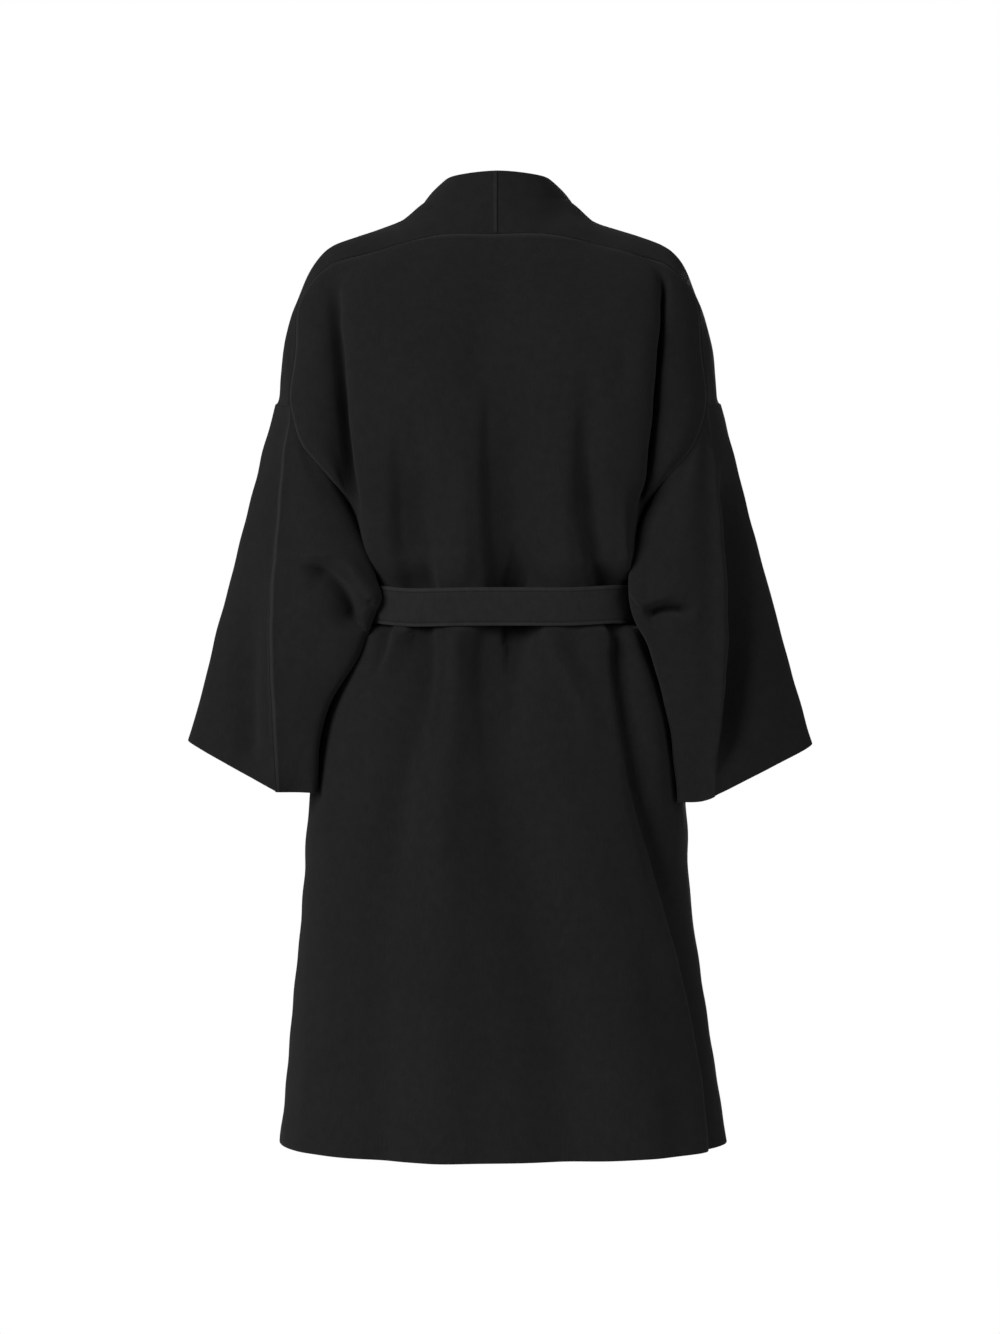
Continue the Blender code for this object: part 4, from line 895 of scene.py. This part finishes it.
def sleeve_grids(body, armpit, junction, cloth):
    """Outer faces of the sleeve halves, starting on the armhole."""
    grids = {}
    sections = np.cumsum((0,) + ARMHOLE_ROWS)
    row_spans = [even(count) for count in SLEEVE_ROWS]
    for name, side, edge in (("left", -1, 0), ("right", 1, -1)):
        rings = []
        for index, row in enumerate(SLEEVE.values()):
            ring = np.array(row)
            down = index / (len(SLEEVE) - 1)
            for line, (out, up) in zip((RIDGE_LINE, OUTER_LINE), SLEEVE_REACH[name]):
                ring[line] += np.array((out, 0, up)) * down
            ring[2:4, 0] += INNER_EDGE[name][index] - ring[2, 0]
            ring[1:5, 2] += INNER_LIFT[name] * down**2
            rings.append(ring * (side, 1, 1))
        back_hole = body["back"][armpit : junction + 1, edge][::-1]
        front_hole = body["front_" + name][armpit : junction + 1, 0]
        halves = (
            ("back", back_hole, sections[-1] - sections[::-1], (0, 1, 2, 3, 4), SLEEVE_BACK_COLUMNS),
            ("front", front_hole, sections, (4, 5, 6, 0), SLEEVE_FRONT_COLUMNS),
        )
        for half, hole, places, lines, counts in halves:
            picks = np.interp(HOLE_PICKS[half], np.arange(5), places)
            net = [along(hole, picks)] + [ring[list(lines)] for ring in rings]
            column_spans = [even(count) for count in counts]
            if half == "front":
                column_spans[-1] = 1 - (1 - column_spans[-1]) ** NEAR_FOLD
            grid = lofted(net, row_spans, column_spans)
            grid = ridged(folded(grid, side, name, cloth), half, side, RIDGE_RISE[name])
            seats = np.interp(np.arange(sum(counts) + 1), np.cumsum((0,) + counts), picks)
            grids[f"sleeve_{half}_{name}"] = eased_at(grid, "first_row", along(hole, seats))
        for half, other in (("back", "front"), ("front", "back")):
            seam = grids[f"sleeve_{other}_{name}"][:, -1]
            piece = f"sleeve_{half}_{name}"
            grids[piece] = eased_at(grids[piece], "first_column", seam)
    return grids


def inner_face(grid, outward, wall):
    """Inner face of a wall: a cloth's thickness in, less where a tight bend leaves no room."""
    depth = np.full(grid.shape[:2], wall)
    for _ in range(THIN_STEPS):
        inner = grid - outward * depth[..., None]
        keep = np.ones_like(depth)
        for axis in (0, 1):
            step = np.diff(grid, axis=axis)
            room = (step * np.diff(inner, axis=axis)).sum(axis=-1) / (step**2).sum(axis=-1)
            part = np.where(room < LEAST_ROOM, THINNER, 1).swapaxes(0, axis)
            kept = keep.swapaxes(0, axis)
            kept[:-1] = np.minimum(kept[:-1], part)
            kept[1:] = np.minimum(kept[1:], part)
        depth = np.maximum(depth * keep, THINNEST)
    return grid - outward * depth[..., None]


def edge_points(grid, edge):
    """Points of one edge of a grid and their neighbours inside it, in order round the grid."""
    seen = turned(grid, edge)
    if edge in ("last_row", "first_column"):
        seen = seen[::-1]
    return seen[:, 0], seen[:, 1]


def drawn_in(grid, free, wall):
    """Grid with its free edges drawn in, to make room for their rounding."""
    moved = grid
    for edge in free:
        seen = turned(moved, edge)
        inward = unit(seen[:, 1] - seen[:, 0])
        moved = eased_at(moved, edge, seen[:, 0] + inward * wall / 2, 2 * wall)
    return moved


def edge_distance(grid, edges):
    """Distance of each point from the nearest of these edges, along the cloth."""
    nearest = np.full(grid.shape[:2], 1.0)
    for edge in edges:
        run = np.cumsum(np.linalg.norm(np.diff(turned(grid, edge), axis=1), axis=-1), axis=1)
        seen = turned(nearest, edge)
        seen[:, 0] = 0
        seen[:, 1:] = np.minimum(seen[:, 1:], run)
    return nearest


def four_sided(index):
    """Faces between the points of a grid, which are given by their numbers."""
    corners = (index[:-1, :-1], index[:-1, 1:], index[1:, 1:], index[1:, :-1])
    return np.stack(corners, axis=-1).reshape(-1, 4)


def add_object(name, points, faces, flat_faces, values, material):
    """Mesh object with smooth faces, apart from the flat ones, and its values per point."""
    mesh = bpy.data.meshes.new(name)
    mesh.from_pydata(points.tolist(), [], faces + flat_faces)
    shades = np.ones(len(mesh.polygons), bool)
    shades[len(faces) :] = False
    mesh.polygons.foreach_set("use_smooth", shades)
    for key, value in values.items():
        layer = mesh.attributes.new(key, "FLOAT", "POINT")
        layer.data.foreach_set("value", np.asarray(value, np.float32))
    mesh.materials.append(material)
    mesh.update()
    made = bpy.data.objects.new(name, mesh)
    bpy.context.scene.collection.objects.link(made)
    return made


def add_shell(name, outer, inner, facing, free, felled, material):
    """Thin shell of cloth between two grids, round along its free edges and flat along its seams."""
    rows, columns = outer.shape[:2]
    count = rows * columns
    index = np.arange(count).reshape(rows, columns)
    quads = four_sided(index)
    points = [outer.reshape(-1, 3), inner.reshape(-1, 3)]
    faces = quads.tolist() + (quads[:, ::-1] + count).tolist()
    flat_faces = []
    total = 2 * count
    for edge in EDGES:
        rim, _ = edge_points(index, edge)
        lines = [rim, rim + count]
        if edge in free:
            high, beside = edge_points(outer, edge)
            low, _ = edge_points(inner, edge)
            middle = (high + low) / 2
            off = unit(high - beside) * np.linalg.norm(high - low, axis=-1, keepdims=True) / 2
            between = []
            for step in range(1, ROUND_STEPS):
                turn = math.pi * step / ROUND_STEPS
                points.append(middle + (high - middle) * math.cos(turn) + off * math.sin(turn))
                between.append(np.arange(total, total + len(rim)))
                total += len(rim)
            lines = [rim, *between, rim + count]
            flat_faces.append([int(line[0]) for line in lines[::-1]])
            flat_faces.append([int(line[-1]) for line in lines])
        made = []
        for near, far in zip(lines, lines[1:]):
            made += np.stack([near[1:], near[:-1], far[:-1], far[1:]], axis=-1).tolist()
        if edge in free:
            faces += made
        else:
            flat_faces += made
    if facing < 0:
        faces = [face[::-1] for face in faces]
        flat_faces = [face[::-1] for face in flat_faces]
    seams = [edge for edge in EDGES if edge not in free and felled.get(edge, 0) is not None]
    distance = edge_distance(outer, seams)
    # Per point, the felled amount of its nearest seam: the height of the ridge there and the strength of its
    # painted highlight.
    raised = np.zeros((rows, columns))
    for edge in seams:
        nearest = edge_distance(outer, [edge]) <= distance + 1e-6
        raised = np.where(nearest, felled.get(edge, 0), raised)
    off_seam = distance.reshape(-1) / MM
    values = {
        "seam": np.concatenate([off_seam, off_seam, np.full(total - 2 * count, NO_SEAM)]),
        "felled": np.concatenate([raised.reshape(-1), np.zeros(total - count)]),
    }
    return add_object(name, np.concatenate(points), faces, flat_faces, values, material)


def wool(name, tone, settings):
    """Felted black wool: fuzz, soft streaks of nap, specks, and the felled seams, whose ridges carry a
    painted highlight.
    """
    material = bpy.data.materials.new(name)
    material.use_nodes = True
    tree = material.node_tree
    nodes, links = tree.nodes, tree.links
    shader = nodes["Principled BSDF"]
    place = nodes.new("ShaderNodeTexCoord")

    def noise(scale, detail, rough, stretch):
        mapping = nodes.new("ShaderNodeMapping")
        mapping.inputs["Scale"].default_value = (1, 1, stretch)
        texture = nodes.new("ShaderNodeTexNoise")
        texture.inputs["Scale"].default_value = scale
        texture.inputs["Detail"].default_value = detail
        texture.inputs["Roughness"].default_value = rough
        links.new(place.outputs["Object"], mapping.inputs["Vector"])
        links.new(mapping.outputs["Vector"], texture.inputs["Vector"])
        return texture.outputs["Fac"]

    def between(value, limits, kind="LINEAR"):
        node = nodes.new("ShaderNodeMapRange")
        node.interpolation_type = kind
        node.clamp = True
        for socket, number in zip(("From Min", "From Max", "To Min", "To Max"), limits):
            node.inputs[socket].default_value = number
        links.new(value, node.inputs["Value"])
        return node.outputs["Result"]

    def sums(kind, first, second):
        node = nodes.new("ShaderNodeMath")
        node.operation = kind
        for socket, value in zip(node.inputs, (first, second)):
            if isinstance(value, (int, float)):
                socket.default_value = value
            else:
                links.new(value, socket)
        return node.outputs["Value"]

    def attribute(key):
        node = nodes.new("ShaderNodeAttribute")
        node.attribute_name = key
        return node.outputs["Fac"]

    seam = attribute("seam")
    ridge_width = settings.ridge / MM
    rise_up = between(seam, (*RIDGE_FOOT, 0, 1), "SMOOTHSTEP")
    rise_down = between(seam, (ridge_width / 2, ridge_width, 1, 0), "SMOOTHSTEP")
    parts = {key: noise(*sizes) for key, sizes in GRAINS.items()}
    # Ridge beside a felled seam: a rise in the bump, and a painted highlight in the colour.
    parts["ridge"] = sums("MULTIPLY", sums("MULTIPLY", rise_up, rise_down), attribute("felled"))
    parts["groove"] = between(seam, (GROOVE_FLOOR, settings.groove / MM, 1, 0), "SMOOTHSTEP")

    shade = 0.5
    for key, limits in GRAIN_SHADES.items():
        shade = sums("MULTIPLY", shade, between(parts[key], limits))
    # Painted highlight along the seams' ridges, and the darker lines of their grooves.
    for key, amount in SEAM_HIGHLIGHT_AND_LINE_DARKENING.items():
        shade = sums("MULTIPLY", shade, sums("ADD", 1.0, sums("MULTIPLY", parts[key], amount)))
    colour = nodes.new("ShaderNodeMix")
    colour.data_type = "RGBA"
    colour.inputs["A"].default_value = (0, 0, 0, 1)
    colour.inputs["B"].default_value = (tone * 2, tone * 2, tone * 2 * BLUER, 1)
    links.new(shade, colour.inputs["Factor"])
    links.new(colour.outputs["Result"], shader.inputs["Base Color"])
    links.new(between(parts["fuzz"], ROUGH), shader.inputs["Roughness"])
    shader.inputs["Specular IOR Level"].default_value = settings.gloss
    shader.inputs["Sheen Weight"].default_value = settings.sheen
    shader.inputs["Sheen Roughness"].default_value = SHEEN_ROUGH
    shader.inputs["Sheen Tint"].default_value = SHEEN_TINT

    height = 0.0
    for key, rise in RELIEF.items():
        height = sums("ADD", height, sums("MULTIPLY", parts[key], rise))
    bump = nodes.new("ShaderNodeBump")
    bump.inputs["Strength"].default_value = settings.nap
    bump.inputs["Distance"].default_value = 1.0
    links.new(height, bump.inputs["Height"])
    links.new(bump.outputs["Normal"], shader.inputs["Normal"])
    return material


def belt_place(angle, out, lift):
    """Points over the belt line of the body, at an angle from the centre back, moved out and up."""
    _, left, right, back, front, _, _, squareness = BODY["belt_low"]
    across = np.sin(np.radians(angle))
    behind = np.cos(np.radians(angle))
    half = np.where(across >= 0, right, left) + out
    depth = np.where(behind >= 0, back, front) + out
    return np.stack(
        [
            half * powered(across, squareness),
            -depth * powered(behind, squareness),
            BELT_HEIGHT - BELT_DROOP * np.maximum(behind, 0) ** 2 + lift,
        ],
        axis=-1,
    )


def add_rings(name, rings, values, material, closed):
    """Closed solid through a row of rings, going round in a loop or with flat ends."""
    rows, columns = rings.shape[:2]
    index = np.arange(rows * columns).reshape(rows, columns)
    index = np.concatenate([index, index[:, :1]], axis=1)
    if closed:
        index = np.concatenate([index, index[:1]])
    faces = four_sided(index).tolist()
    flat_faces = []
    if not closed:
        flat_faces = [index[0, :-1][::-1].tolist(), index[-1, :-1].tolist()]
    return add_object(name, rings.reshape(-1, 3), faces, flat_faces, values, material)


def belt_profile(width, thick, count):
    """Outline of the belt's section as (out, lift), with a groove where its edges are stitched."""
    turn = np.linspace(0, 2 * math.pi, count, endpoint=False)
    out = powered(np.cos(turn), SECTION_FLAT)
    lift = powered(np.sin(turn), SECTION_SIDE)
    off_stitch = width / 2 * (1 - np.abs(lift)) - STITCH_INSET
    stitched = np.exp(-((off_stitch / STITCH_WIDTH) ** 2))
    out = out * (1 - STITCH_SHARE * stitched * (out > 0))
    return thick / 2 * (1 + out), width / 2 * lift


def wave_sum(turn, rows):
    """Sum of waves round the waist."""
    return sum(height * np.sin(number * turn + phase) for height, number, phase in rows)


def add_belt_band(belt, material):
    """Band all round the waist, behind the knot too."""
    steps, points = BAND_STEPS
    out, lift = belt_profile(belt.width, belt.thick, points)
    angles = np.linspace(-180, 180, steps, endpoint=False)[:, None]
    turn = np.radians(angles)
    lean = np.maximum(wave_sum(turn, BAND_LEAN) * lift, LEAN_LEAST)
    far = BELT_CLEAR + out + lean + wave_sum(turn, BAND_RIPPLE)
    rings = belt_place(angles, far, lift + wave_sum(turn, BAND_SWAY))
    inset = belt.width / 2 - np.abs(lift)
    off_stitch = np.maximum(np.abs(inset - STITCH_INSET) / MM, STITCH_SOFT)
    off_stitch = np.where(out > belt.thick / 2, off_stitch, NO_SEAM)
    # The belt's edges get a ridge that is also painted lighter, as a highlight.
    values = {
        "seam": np.tile(off_stitch, len(angles)),
        "felled": np.tile(np.where(inset < STITCH_INSET, BELT_EDGE_RIDGE_AND_HIGHLIGHT, 0.0), len(angles)),
    }
    return add_rings("belt_band_cloth", rings, values, material, closed=True)


def knot_back(belt):
    """Depth at which the knot lies on the band."""
    return BODY["belt_low"][4] + BELT_CLEAR + belt.thick + KNOT_SEAT


def knot_swell(share):
    """Size of the knot's section at a share of its half width, against its middle."""
    return 1 - KNOT_TAPER * np.abs(share) ** 3


def add_belt_knot(belt, material):
    """Knot in front of the band: a wrap over the middle and the belt going in at both sides."""
    steps, points = KNOT_STEPS
    shares = np.sin(np.linspace(-math.pi / 2, math.pi / 2, steps))[:, None]
    turn = np.linspace(0, 2 * math.pi, points, endpoint=False)[None, :]
    swell = knot_swell(shares)
    up = powered(np.sin(turn), KNOT_ROUND)
    deep = powered(np.cos(turn), KNOT_ROUND)
    side = np.abs(shares + WRAP_LEAN * up)
    place, spread, depth = WRAP_GROOVE
    groove = np.exp(-(((side - place) / spread) ** 2))
    wrap = smooth((WRAP_HALF - side) / WRAP_SOFT)
    ply, number, slant = PLY
    plies = ply * np.cos(number * shares + slant * up)
    size = swell * (1 - depth * groove - WRAP_RISE * (1 - wrap)) + plies * (1 - groove)
    size = np.minimum(size, swell)
    rings = np.stack(
        [
            np.broadcast_to(shares * KNOT_WIDTH / 2, size.shape),
            knot_back(belt) + KNOT_DEPTH / 2 * (1 + deep * size),
            BELT_HEIGHT + KNOT_HEIGHT / 2 * up * size,
        ],
        axis=-1,
    )
    values = {"seam": np.full(size.size, NO_SEAM), "felled": np.zeros(size.size)}
    return add_rings("belt_knot_cloth", rings, values, material, closed=False)


def knot_under(across, deep, belt):
    """Height of the knot's underside at a place across the front and at a depth."""
    swell = knot_swell(across / KNOT_WIDTH * 2)
    off_centre = np.minimum(np.abs((deep - knot_back(belt)) / (KNOT_DEPTH / 2) - 1) / swell, 1)
    roundness = (1 - off_centre ** (2 / KNOT_ROUND)) ** (KNOT_ROUND / 2)
    return BELT_HEIGHT - KNOT_HEIGHT / 2 * swell * roundness


def front_depth(across, up):
    """How far forward the front of the body lies below the belt."""
    rows = np.array(sorted(BODY.values()))
    half, depth, square = (np.interp(up, rows[:, 0], rows[:, column]) for column in (2, 4, 7))
    return depth * (1 - (np.abs(across) / half) ** (2 / square)) ** (square / 2)


def add_belt_end(name, start, sway, length, high_out, low_out, belt, material):
    """Hanging end of the belt: gathered under the knot, then flat over the front."""
    low = BELT_HEIGHT - KNOT_HEIGHT / 2 - length
    nearest = min(BODY["belt_low"][4] + high_out, knot_back(belt) + KNOT_DEPTH / 2)
    steps, points = END_STEPS
    share = np.linspace(0, 1, steps)[:, None]
    column = np.linspace(-0.5, 0.5, points)[None, :]
    width = belt.width * (END_DRAWN + (1 - END_DRAWN) * smooth(share / END_SPREAD))
    centre = start + sway * share
    out = high_out + (low_out - high_out) * smooth((share - END_TOP) / END_FALL)
    top = knot_under(start + belt.width / 2 * column, nearest, belt) - KNOT_GAP
    up = top + (low - top) * share
    ripple = END_FOLD * np.cos(2 * math.pi * column) * (1 - share) * smooth(share / END_TOP)
    height, down, slant = END_RIPPLE
    ripple = ripple + height * np.sin(down * share + slant * column) * smooth(share / END_CALM)
    deep = front_depth(centre, up) + out + ripple
    deep = deep + (BODY["belt_low"][4] + high_out - deep) * (1 - smooth(share / END_SEAT))
    stitched = np.exp(-((((0.5 - np.abs(column)) * width - STITCH_INSET) / STITCH_WIDTH) ** 2))
    deep = deep - STITCH_DEPTH * stitched * smooth(share / END_TOP)
    outer = np.stack(np.broadcast_arrays(centre + width * column, deep, up), axis=-1)
    inner = outer - np.array((0, belt.thick, 0))
    return add_shell(name, outer, inner, 1, EDGES, {}, material)


@functools.cache
def coat_grids():
    """Outer faces of all the cut pieces, worked out once."""
    cloth = bpy.context.scene.coat_cloth
    body, armpit, junction = body_grids(cloth)
    return {**body, **sleeve_grids(body, armpit, junction, cloth)}


def add_cut_piece(context, name, nodes, slot, free, felled):
    """Shell of one cut piece, hung under the root, with the imported parts that it stands for hidden."""
    cloth = context.scene.coat_cloth
    grid = coat_grids()[name]
    facing = -1 if name.endswith("left") else 1
    inner = inner_face(grid, normals(grid, facing), cloth.wall)
    outer = drawn_in(grid, free, cloth.wall)
    inner = drawn_in(inner, free, cloth.wall)
    material = bpy.data.materials.get(slot + "_felt") or wool(slot + "_felt", cloth.tone, cloth)
    piece = add_shell(name + "_cloth", outer, inner, facing, free, felled, material)
    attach(piece, "root")
    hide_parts(*nodes)


class CoatCloth(bpy.types.PropertyGroup):
    """Cloth of the coat."""

    wall: bpy.props.FloatProperty(
        name="Wall", description="Thickness of the double-faced cloth", default=0.003, unit="LENGTH"
    )
    fold_depth: bpy.props.FloatProperty(
        name="Fold depth", description="Share of the folds' full depth", default=1.0, subtype="FACTOR"
    )
    uneven: bpy.props.FloatProperty(
        name="Unevenness", description="Height of the cloth's small rises", default=0.0006, unit="LENGTH"
    )
    groove: bpy.props.FloatProperty(
        name="Seam groove", description="Half width of the line along a seam", default=0.0011, unit="LENGTH"
    )
    # The ridge's width is also the width of its painted highlight.
    ridge: bpy.props.FloatProperty(
        name="Felled ridge", description="Width of the ridge beside a felled seam",
        default=0.0062, unit="LENGTH",
    )
    tone: bpy.props.FloatProperty(
        name="Tone", description="Base tone of the wool", default=0.0075, subtype="FACTOR"
    )
    gloss: bpy.props.FloatProperty(
        name="Gloss", description="Share of the light mirrored by the fibres", default=0.05, subtype="FACTOR"
    )
    sheen: bpy.props.FloatProperty(
        name="Sheen", description="Light caught by the raised fibres", default=0.026, subtype="FACTOR"
    )
    nap: bpy.props.FloatProperty(
        name="Nap", description="Strength of the nap's relief", default=0.5, subtype="FACTOR"
    )


class CoatBelt(bpy.types.PropertyGroup):
    """Tie belt."""

    width: bpy.props.FloatProperty(
        name="Width", description="Width of the belt", default=0.042, unit="LENGTH"
    )
    thick: bpy.props.FloatProperty(
        name="Thickness", description="Thickness of the two-layer belt", default=0.005, unit="LENGTH"
    )
    end: bpy.props.FloatProperty(
        name="End", description="Length of the longer hanging end", default=0.34, unit="LENGTH"
    )


class CoatStage(bpy.types.PropertyGroup):
    """Floor, light and camera."""

    floor_height: bpy.props.FloatProperty(
        name="Floor height", description="Height of the floor below the neck seam",
        default=-1.5, unit="LENGTH",
    )
    sky: bpy.props.FloatProperty(
        name="Sky", description="Strength of the even white light", default=0.20
    )
    key: bpy.props.FloatProperty(
        name="Key light", description="Power of each large soft light", default=190.0, unit="POWER"
    )
    distance: bpy.props.FloatProperty(
        name="Camera distance", description="Distance of the camera from the shoulder line",
        default=3.6, unit="LENGTH",
    )
    camera_height: bpy.props.FloatProperty(
        name="Camera height", description="Height of the camera", default=-0.478, unit="LENGTH"
    )
    frame_height: bpy.props.FloatProperty(
        name="Frame height", description="Height of the frame at the shoulder line",
        default=1.50742, unit="LENGTH",
    )
    shift: bpy.props.FloatProperty(
        name="Shift", description="Sideways shift of the frame", default=0.0015, subtype="FACTOR"
    )


class COAT_OT_back(bpy.types.Operator):
    """Build the back"""

    bl_idname = "coat.back"
    bl_label = "Build Back"

    def execute(self, context):
        # The felled amounts give each seam's ridge and the strength of its painted highlight.
        add_cut_piece(
            context, "back", ("back", "back_skirt"), "wool_body", ("first_row",),
            {"first_column": 1.0, "last_column": 1.0, "last_row": 0.6},
        )
        return {"FINISHED"}


class COAT_OT_fronts(bpy.types.Operator):
    """Build both fronts with their grown-on collar"""

    bl_idname = "coat.fronts"
    bl_label = "Build Fronts"

    def execute(self, context):
        # The centre back seam of the collar gets its ridge and painted highlight on the left front only.
        for side, felled in (("left", 1.0), ("right", 0.0)):
            name = "front_" + side
            add_cut_piece(
                context, name, (name, name + "_skirt"), "wool_body", ("first_row", "last_column"),
                {"last_row": felled},
            )
        return {"FINISHED"}


class COAT_OT_sleeves(bpy.types.Operator):
    """Build the two halves of each sleeve"""

    bl_idname = "coat.sleeves"
    bl_label = "Build Sleeves"

    def execute(self, context):
        # The left sleeve's ridge gets a strong painted highlight; the right one gets no shader ridge,
        # highlight or groove line there.
        for side, felled in (("left", 2.2), ("right", None)):
            name = "sleeve_back_" + side
            add_cut_piece(
                context, name, (name,), "wool_sleeve", ("last_row",),
                {"first_column": felled},
            )
            name = "sleeve_front_" + side
            add_cut_piece(
                context, name, (name,), "wool_sleeve", ("last_row",),
                {"last_column": None},
            )
        return {"FINISHED"}


class COAT_OT_belt(bpy.types.Operator):
    """Build the tie belt"""

    bl_idname = "coat.belt"
    bl_label = "Build Belt"

    def execute(self, context):
        belt = context.scene.coat_belt
        cloth = context.scene.coat_cloth
        # The belt gets a copy of the body's wool painted paler, as painted light.
        material = wool("wool_belt_painted_lighter_felt", cloth.tone * BELT_PAINTED_LIGHTER, cloth)
        body = ["back", "front_left", "front_right"]
        pieces = {
            "belt_band": (add_belt_band(belt, material), (0.045, 0.92), body),
            "belt_knot": (add_belt_knot(belt, material), (0.045, 0.105), ["belt_band"]),
        }
        for side, (start, sway, share, high_out, low_out) in BELT_ENDS.items():
            node = "belt_end_" + side
            length = belt.end * share
            piece = add_belt_end(node + "_cloth", start, sway, length, high_out, low_out, belt, material)
            pieces[node] = (piece, (0.042, length), ["belt_knot"])
        for node, (piece, flat, rests_on) in pieces.items():
            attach(piece, "root")
            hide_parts(node)
        return {"FINISHED"}


class COAT_OT_stage(bpy.types.Operator):
    """Set the floor, the light and the camera"""

    bl_idname = "coat.stage"
    bl_label = "Set Stage"

    def execute(self, context):
        stage = context.scene.coat_stage
        self.add_floor(stage)
        self.add_sky(context, stage)
        for name, (place, share) in LIGHTS.items():
            self.add_light(context, name, place, stage.key * share)
        self.add_camera(context, stage)
        return {"FINISHED"}

    def add_floor(self, stage):
        half = FLOOR_HALF
        corners = [(-half, -half), (half, -half), (half, half), (-half, half)]
        mesh = bpy.data.meshes.new("floor")
        mesh.from_pydata([(x, y, stage.floor_height) for x, y in corners], [], [(0, 1, 2, 3)])
        material = bpy.data.materials.new("pale_floor")
        material.use_nodes = True
        shader = material.node_tree.nodes["Principled BSDF"]
        shader.inputs["Base Color"].default_value = (FLOOR_TONE, FLOOR_TONE, FLOOR_TONE, 1)
        shader.inputs["Roughness"].default_value = FLOOR_ROUGH
        mesh.materials.append(material)
        floor = bpy.data.objects.new("floor", mesh)
        bpy.context.scene.collection.objects.link(floor)

    def add_sky(self, context, stage):
        world = bpy.data.worlds.new("white_studio")
        world.use_nodes = True
        nodes, links = world.node_tree.nodes, world.node_tree.links
        glow = nodes["Background"]
        glow.inputs["Color"].default_value = (1, 1, 1, 1)
        glow.inputs["Strength"].default_value = stage.sky
        backdrop = nodes.new("ShaderNodeBackground")
        backdrop.inputs["Color"].default_value = (1, 1, 1, 1)
        seen = nodes.new("ShaderNodeLightPath")
        mix = nodes.new("ShaderNodeMixShader")
        links.new(seen.outputs["Is Camera Ray"], mix.inputs["Fac"])
        links.new(glow.outputs["Background"], mix.inputs[1])
        links.new(backdrop.outputs["Background"], mix.inputs[2])
        links.new(mix.outputs["Shader"], nodes["World Output"].inputs["Surface"])
        context.scene.world = world
        context.scene.view_settings.view_transform = "Standard"

    def add_light(self, context, name, place, power):
        light = bpy.data.lights.new(name, "AREA")
        light.shape = "SQUARE"
        light.size = LIGHT_SIZE
        light.energy = power
        lamp = bpy.data.objects.new(name, light)
        lamp.location = place
        aim = np.array(LIGHT_AIM) - np.array(place)
        flat = math.hypot(aim[0], aim[1])
        lamp.rotation_euler = (math.atan2(flat, -aim[2]), 0, math.atan2(aim[1], aim[0]) - math.pi / 2)
        context.scene.collection.objects.link(lamp)

    def add_camera(self, context, stage):
        lens = bpy.data.cameras.new("camera")
        lens.sensor_fit = "VERTICAL"
        lens.sensor_height = SENSOR
        lens.lens = SENSOR * stage.distance / stage.frame_height
        lens.shift_x = stage.shift
        camera = bpy.data.objects.new("camera", lens)
        camera.location = (0, -stage.distance, stage.camera_height)
        camera.rotation_euler = (math.pi / 2, 0, 0)
        context.scene.collection.objects.link(camera)
        context.scene.camera = camera


class COAT_PT_panel(bpy.types.Panel):
    """Settings and builders of the coat"""

    bl_idname = "COAT_PT_panel"
    bl_label = "Belted Coat"
    bl_space_type = "VIEW_3D"
    bl_region_type = "UI"
    bl_category = "Coat"

    def draw(self, context):
        for group in (context.scene.coat_cloth, context.scene.coat_belt, context.scene.coat_stage):
            box = self.layout.box()
            for key in type(group).__annotations__:
                box.prop(group, key)
        for operator in OPERATORS:
            self.layout.operator(operator.bl_idname)


GROUPS = {"coat_cloth": CoatCloth, "coat_belt": CoatBelt, "coat_stage": CoatStage}
OPERATORS = (COAT_OT_back, COAT_OT_fronts, COAT_OT_sleeves, COAT_OT_belt, COAT_OT_stage)


def register():
    for group in GROUPS.values():
        bpy.utils.register_class(group)
    for operator in OPERATORS:
        bpy.utils.register_class(operator)
    bpy.utils.register_class(COAT_PT_panel)
    for key, group in GROUPS.items():
        setattr(bpy.types.Scene, key, bpy.props.PointerProperty(type=group))


def unregister():
    for key in GROUPS:
        delattr(bpy.types.Scene, key)
    bpy.utils.unregister_class(COAT_PT_panel)
    for operator in reversed(OPERATORS):
        bpy.utils.unregister_class(operator)
    for group in reversed(GROUPS.values()):
        bpy.utils.unregister_class(group)


def main():
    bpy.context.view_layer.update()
    register()
    bpy.ops.coat.back()
    bpy.ops.coat.fronts()
    bpy.ops.coat.sleeves()
    bpy.ops.coat.belt()
    bpy.ops.coat.stage()


if __name__ == "__main__":
    main()
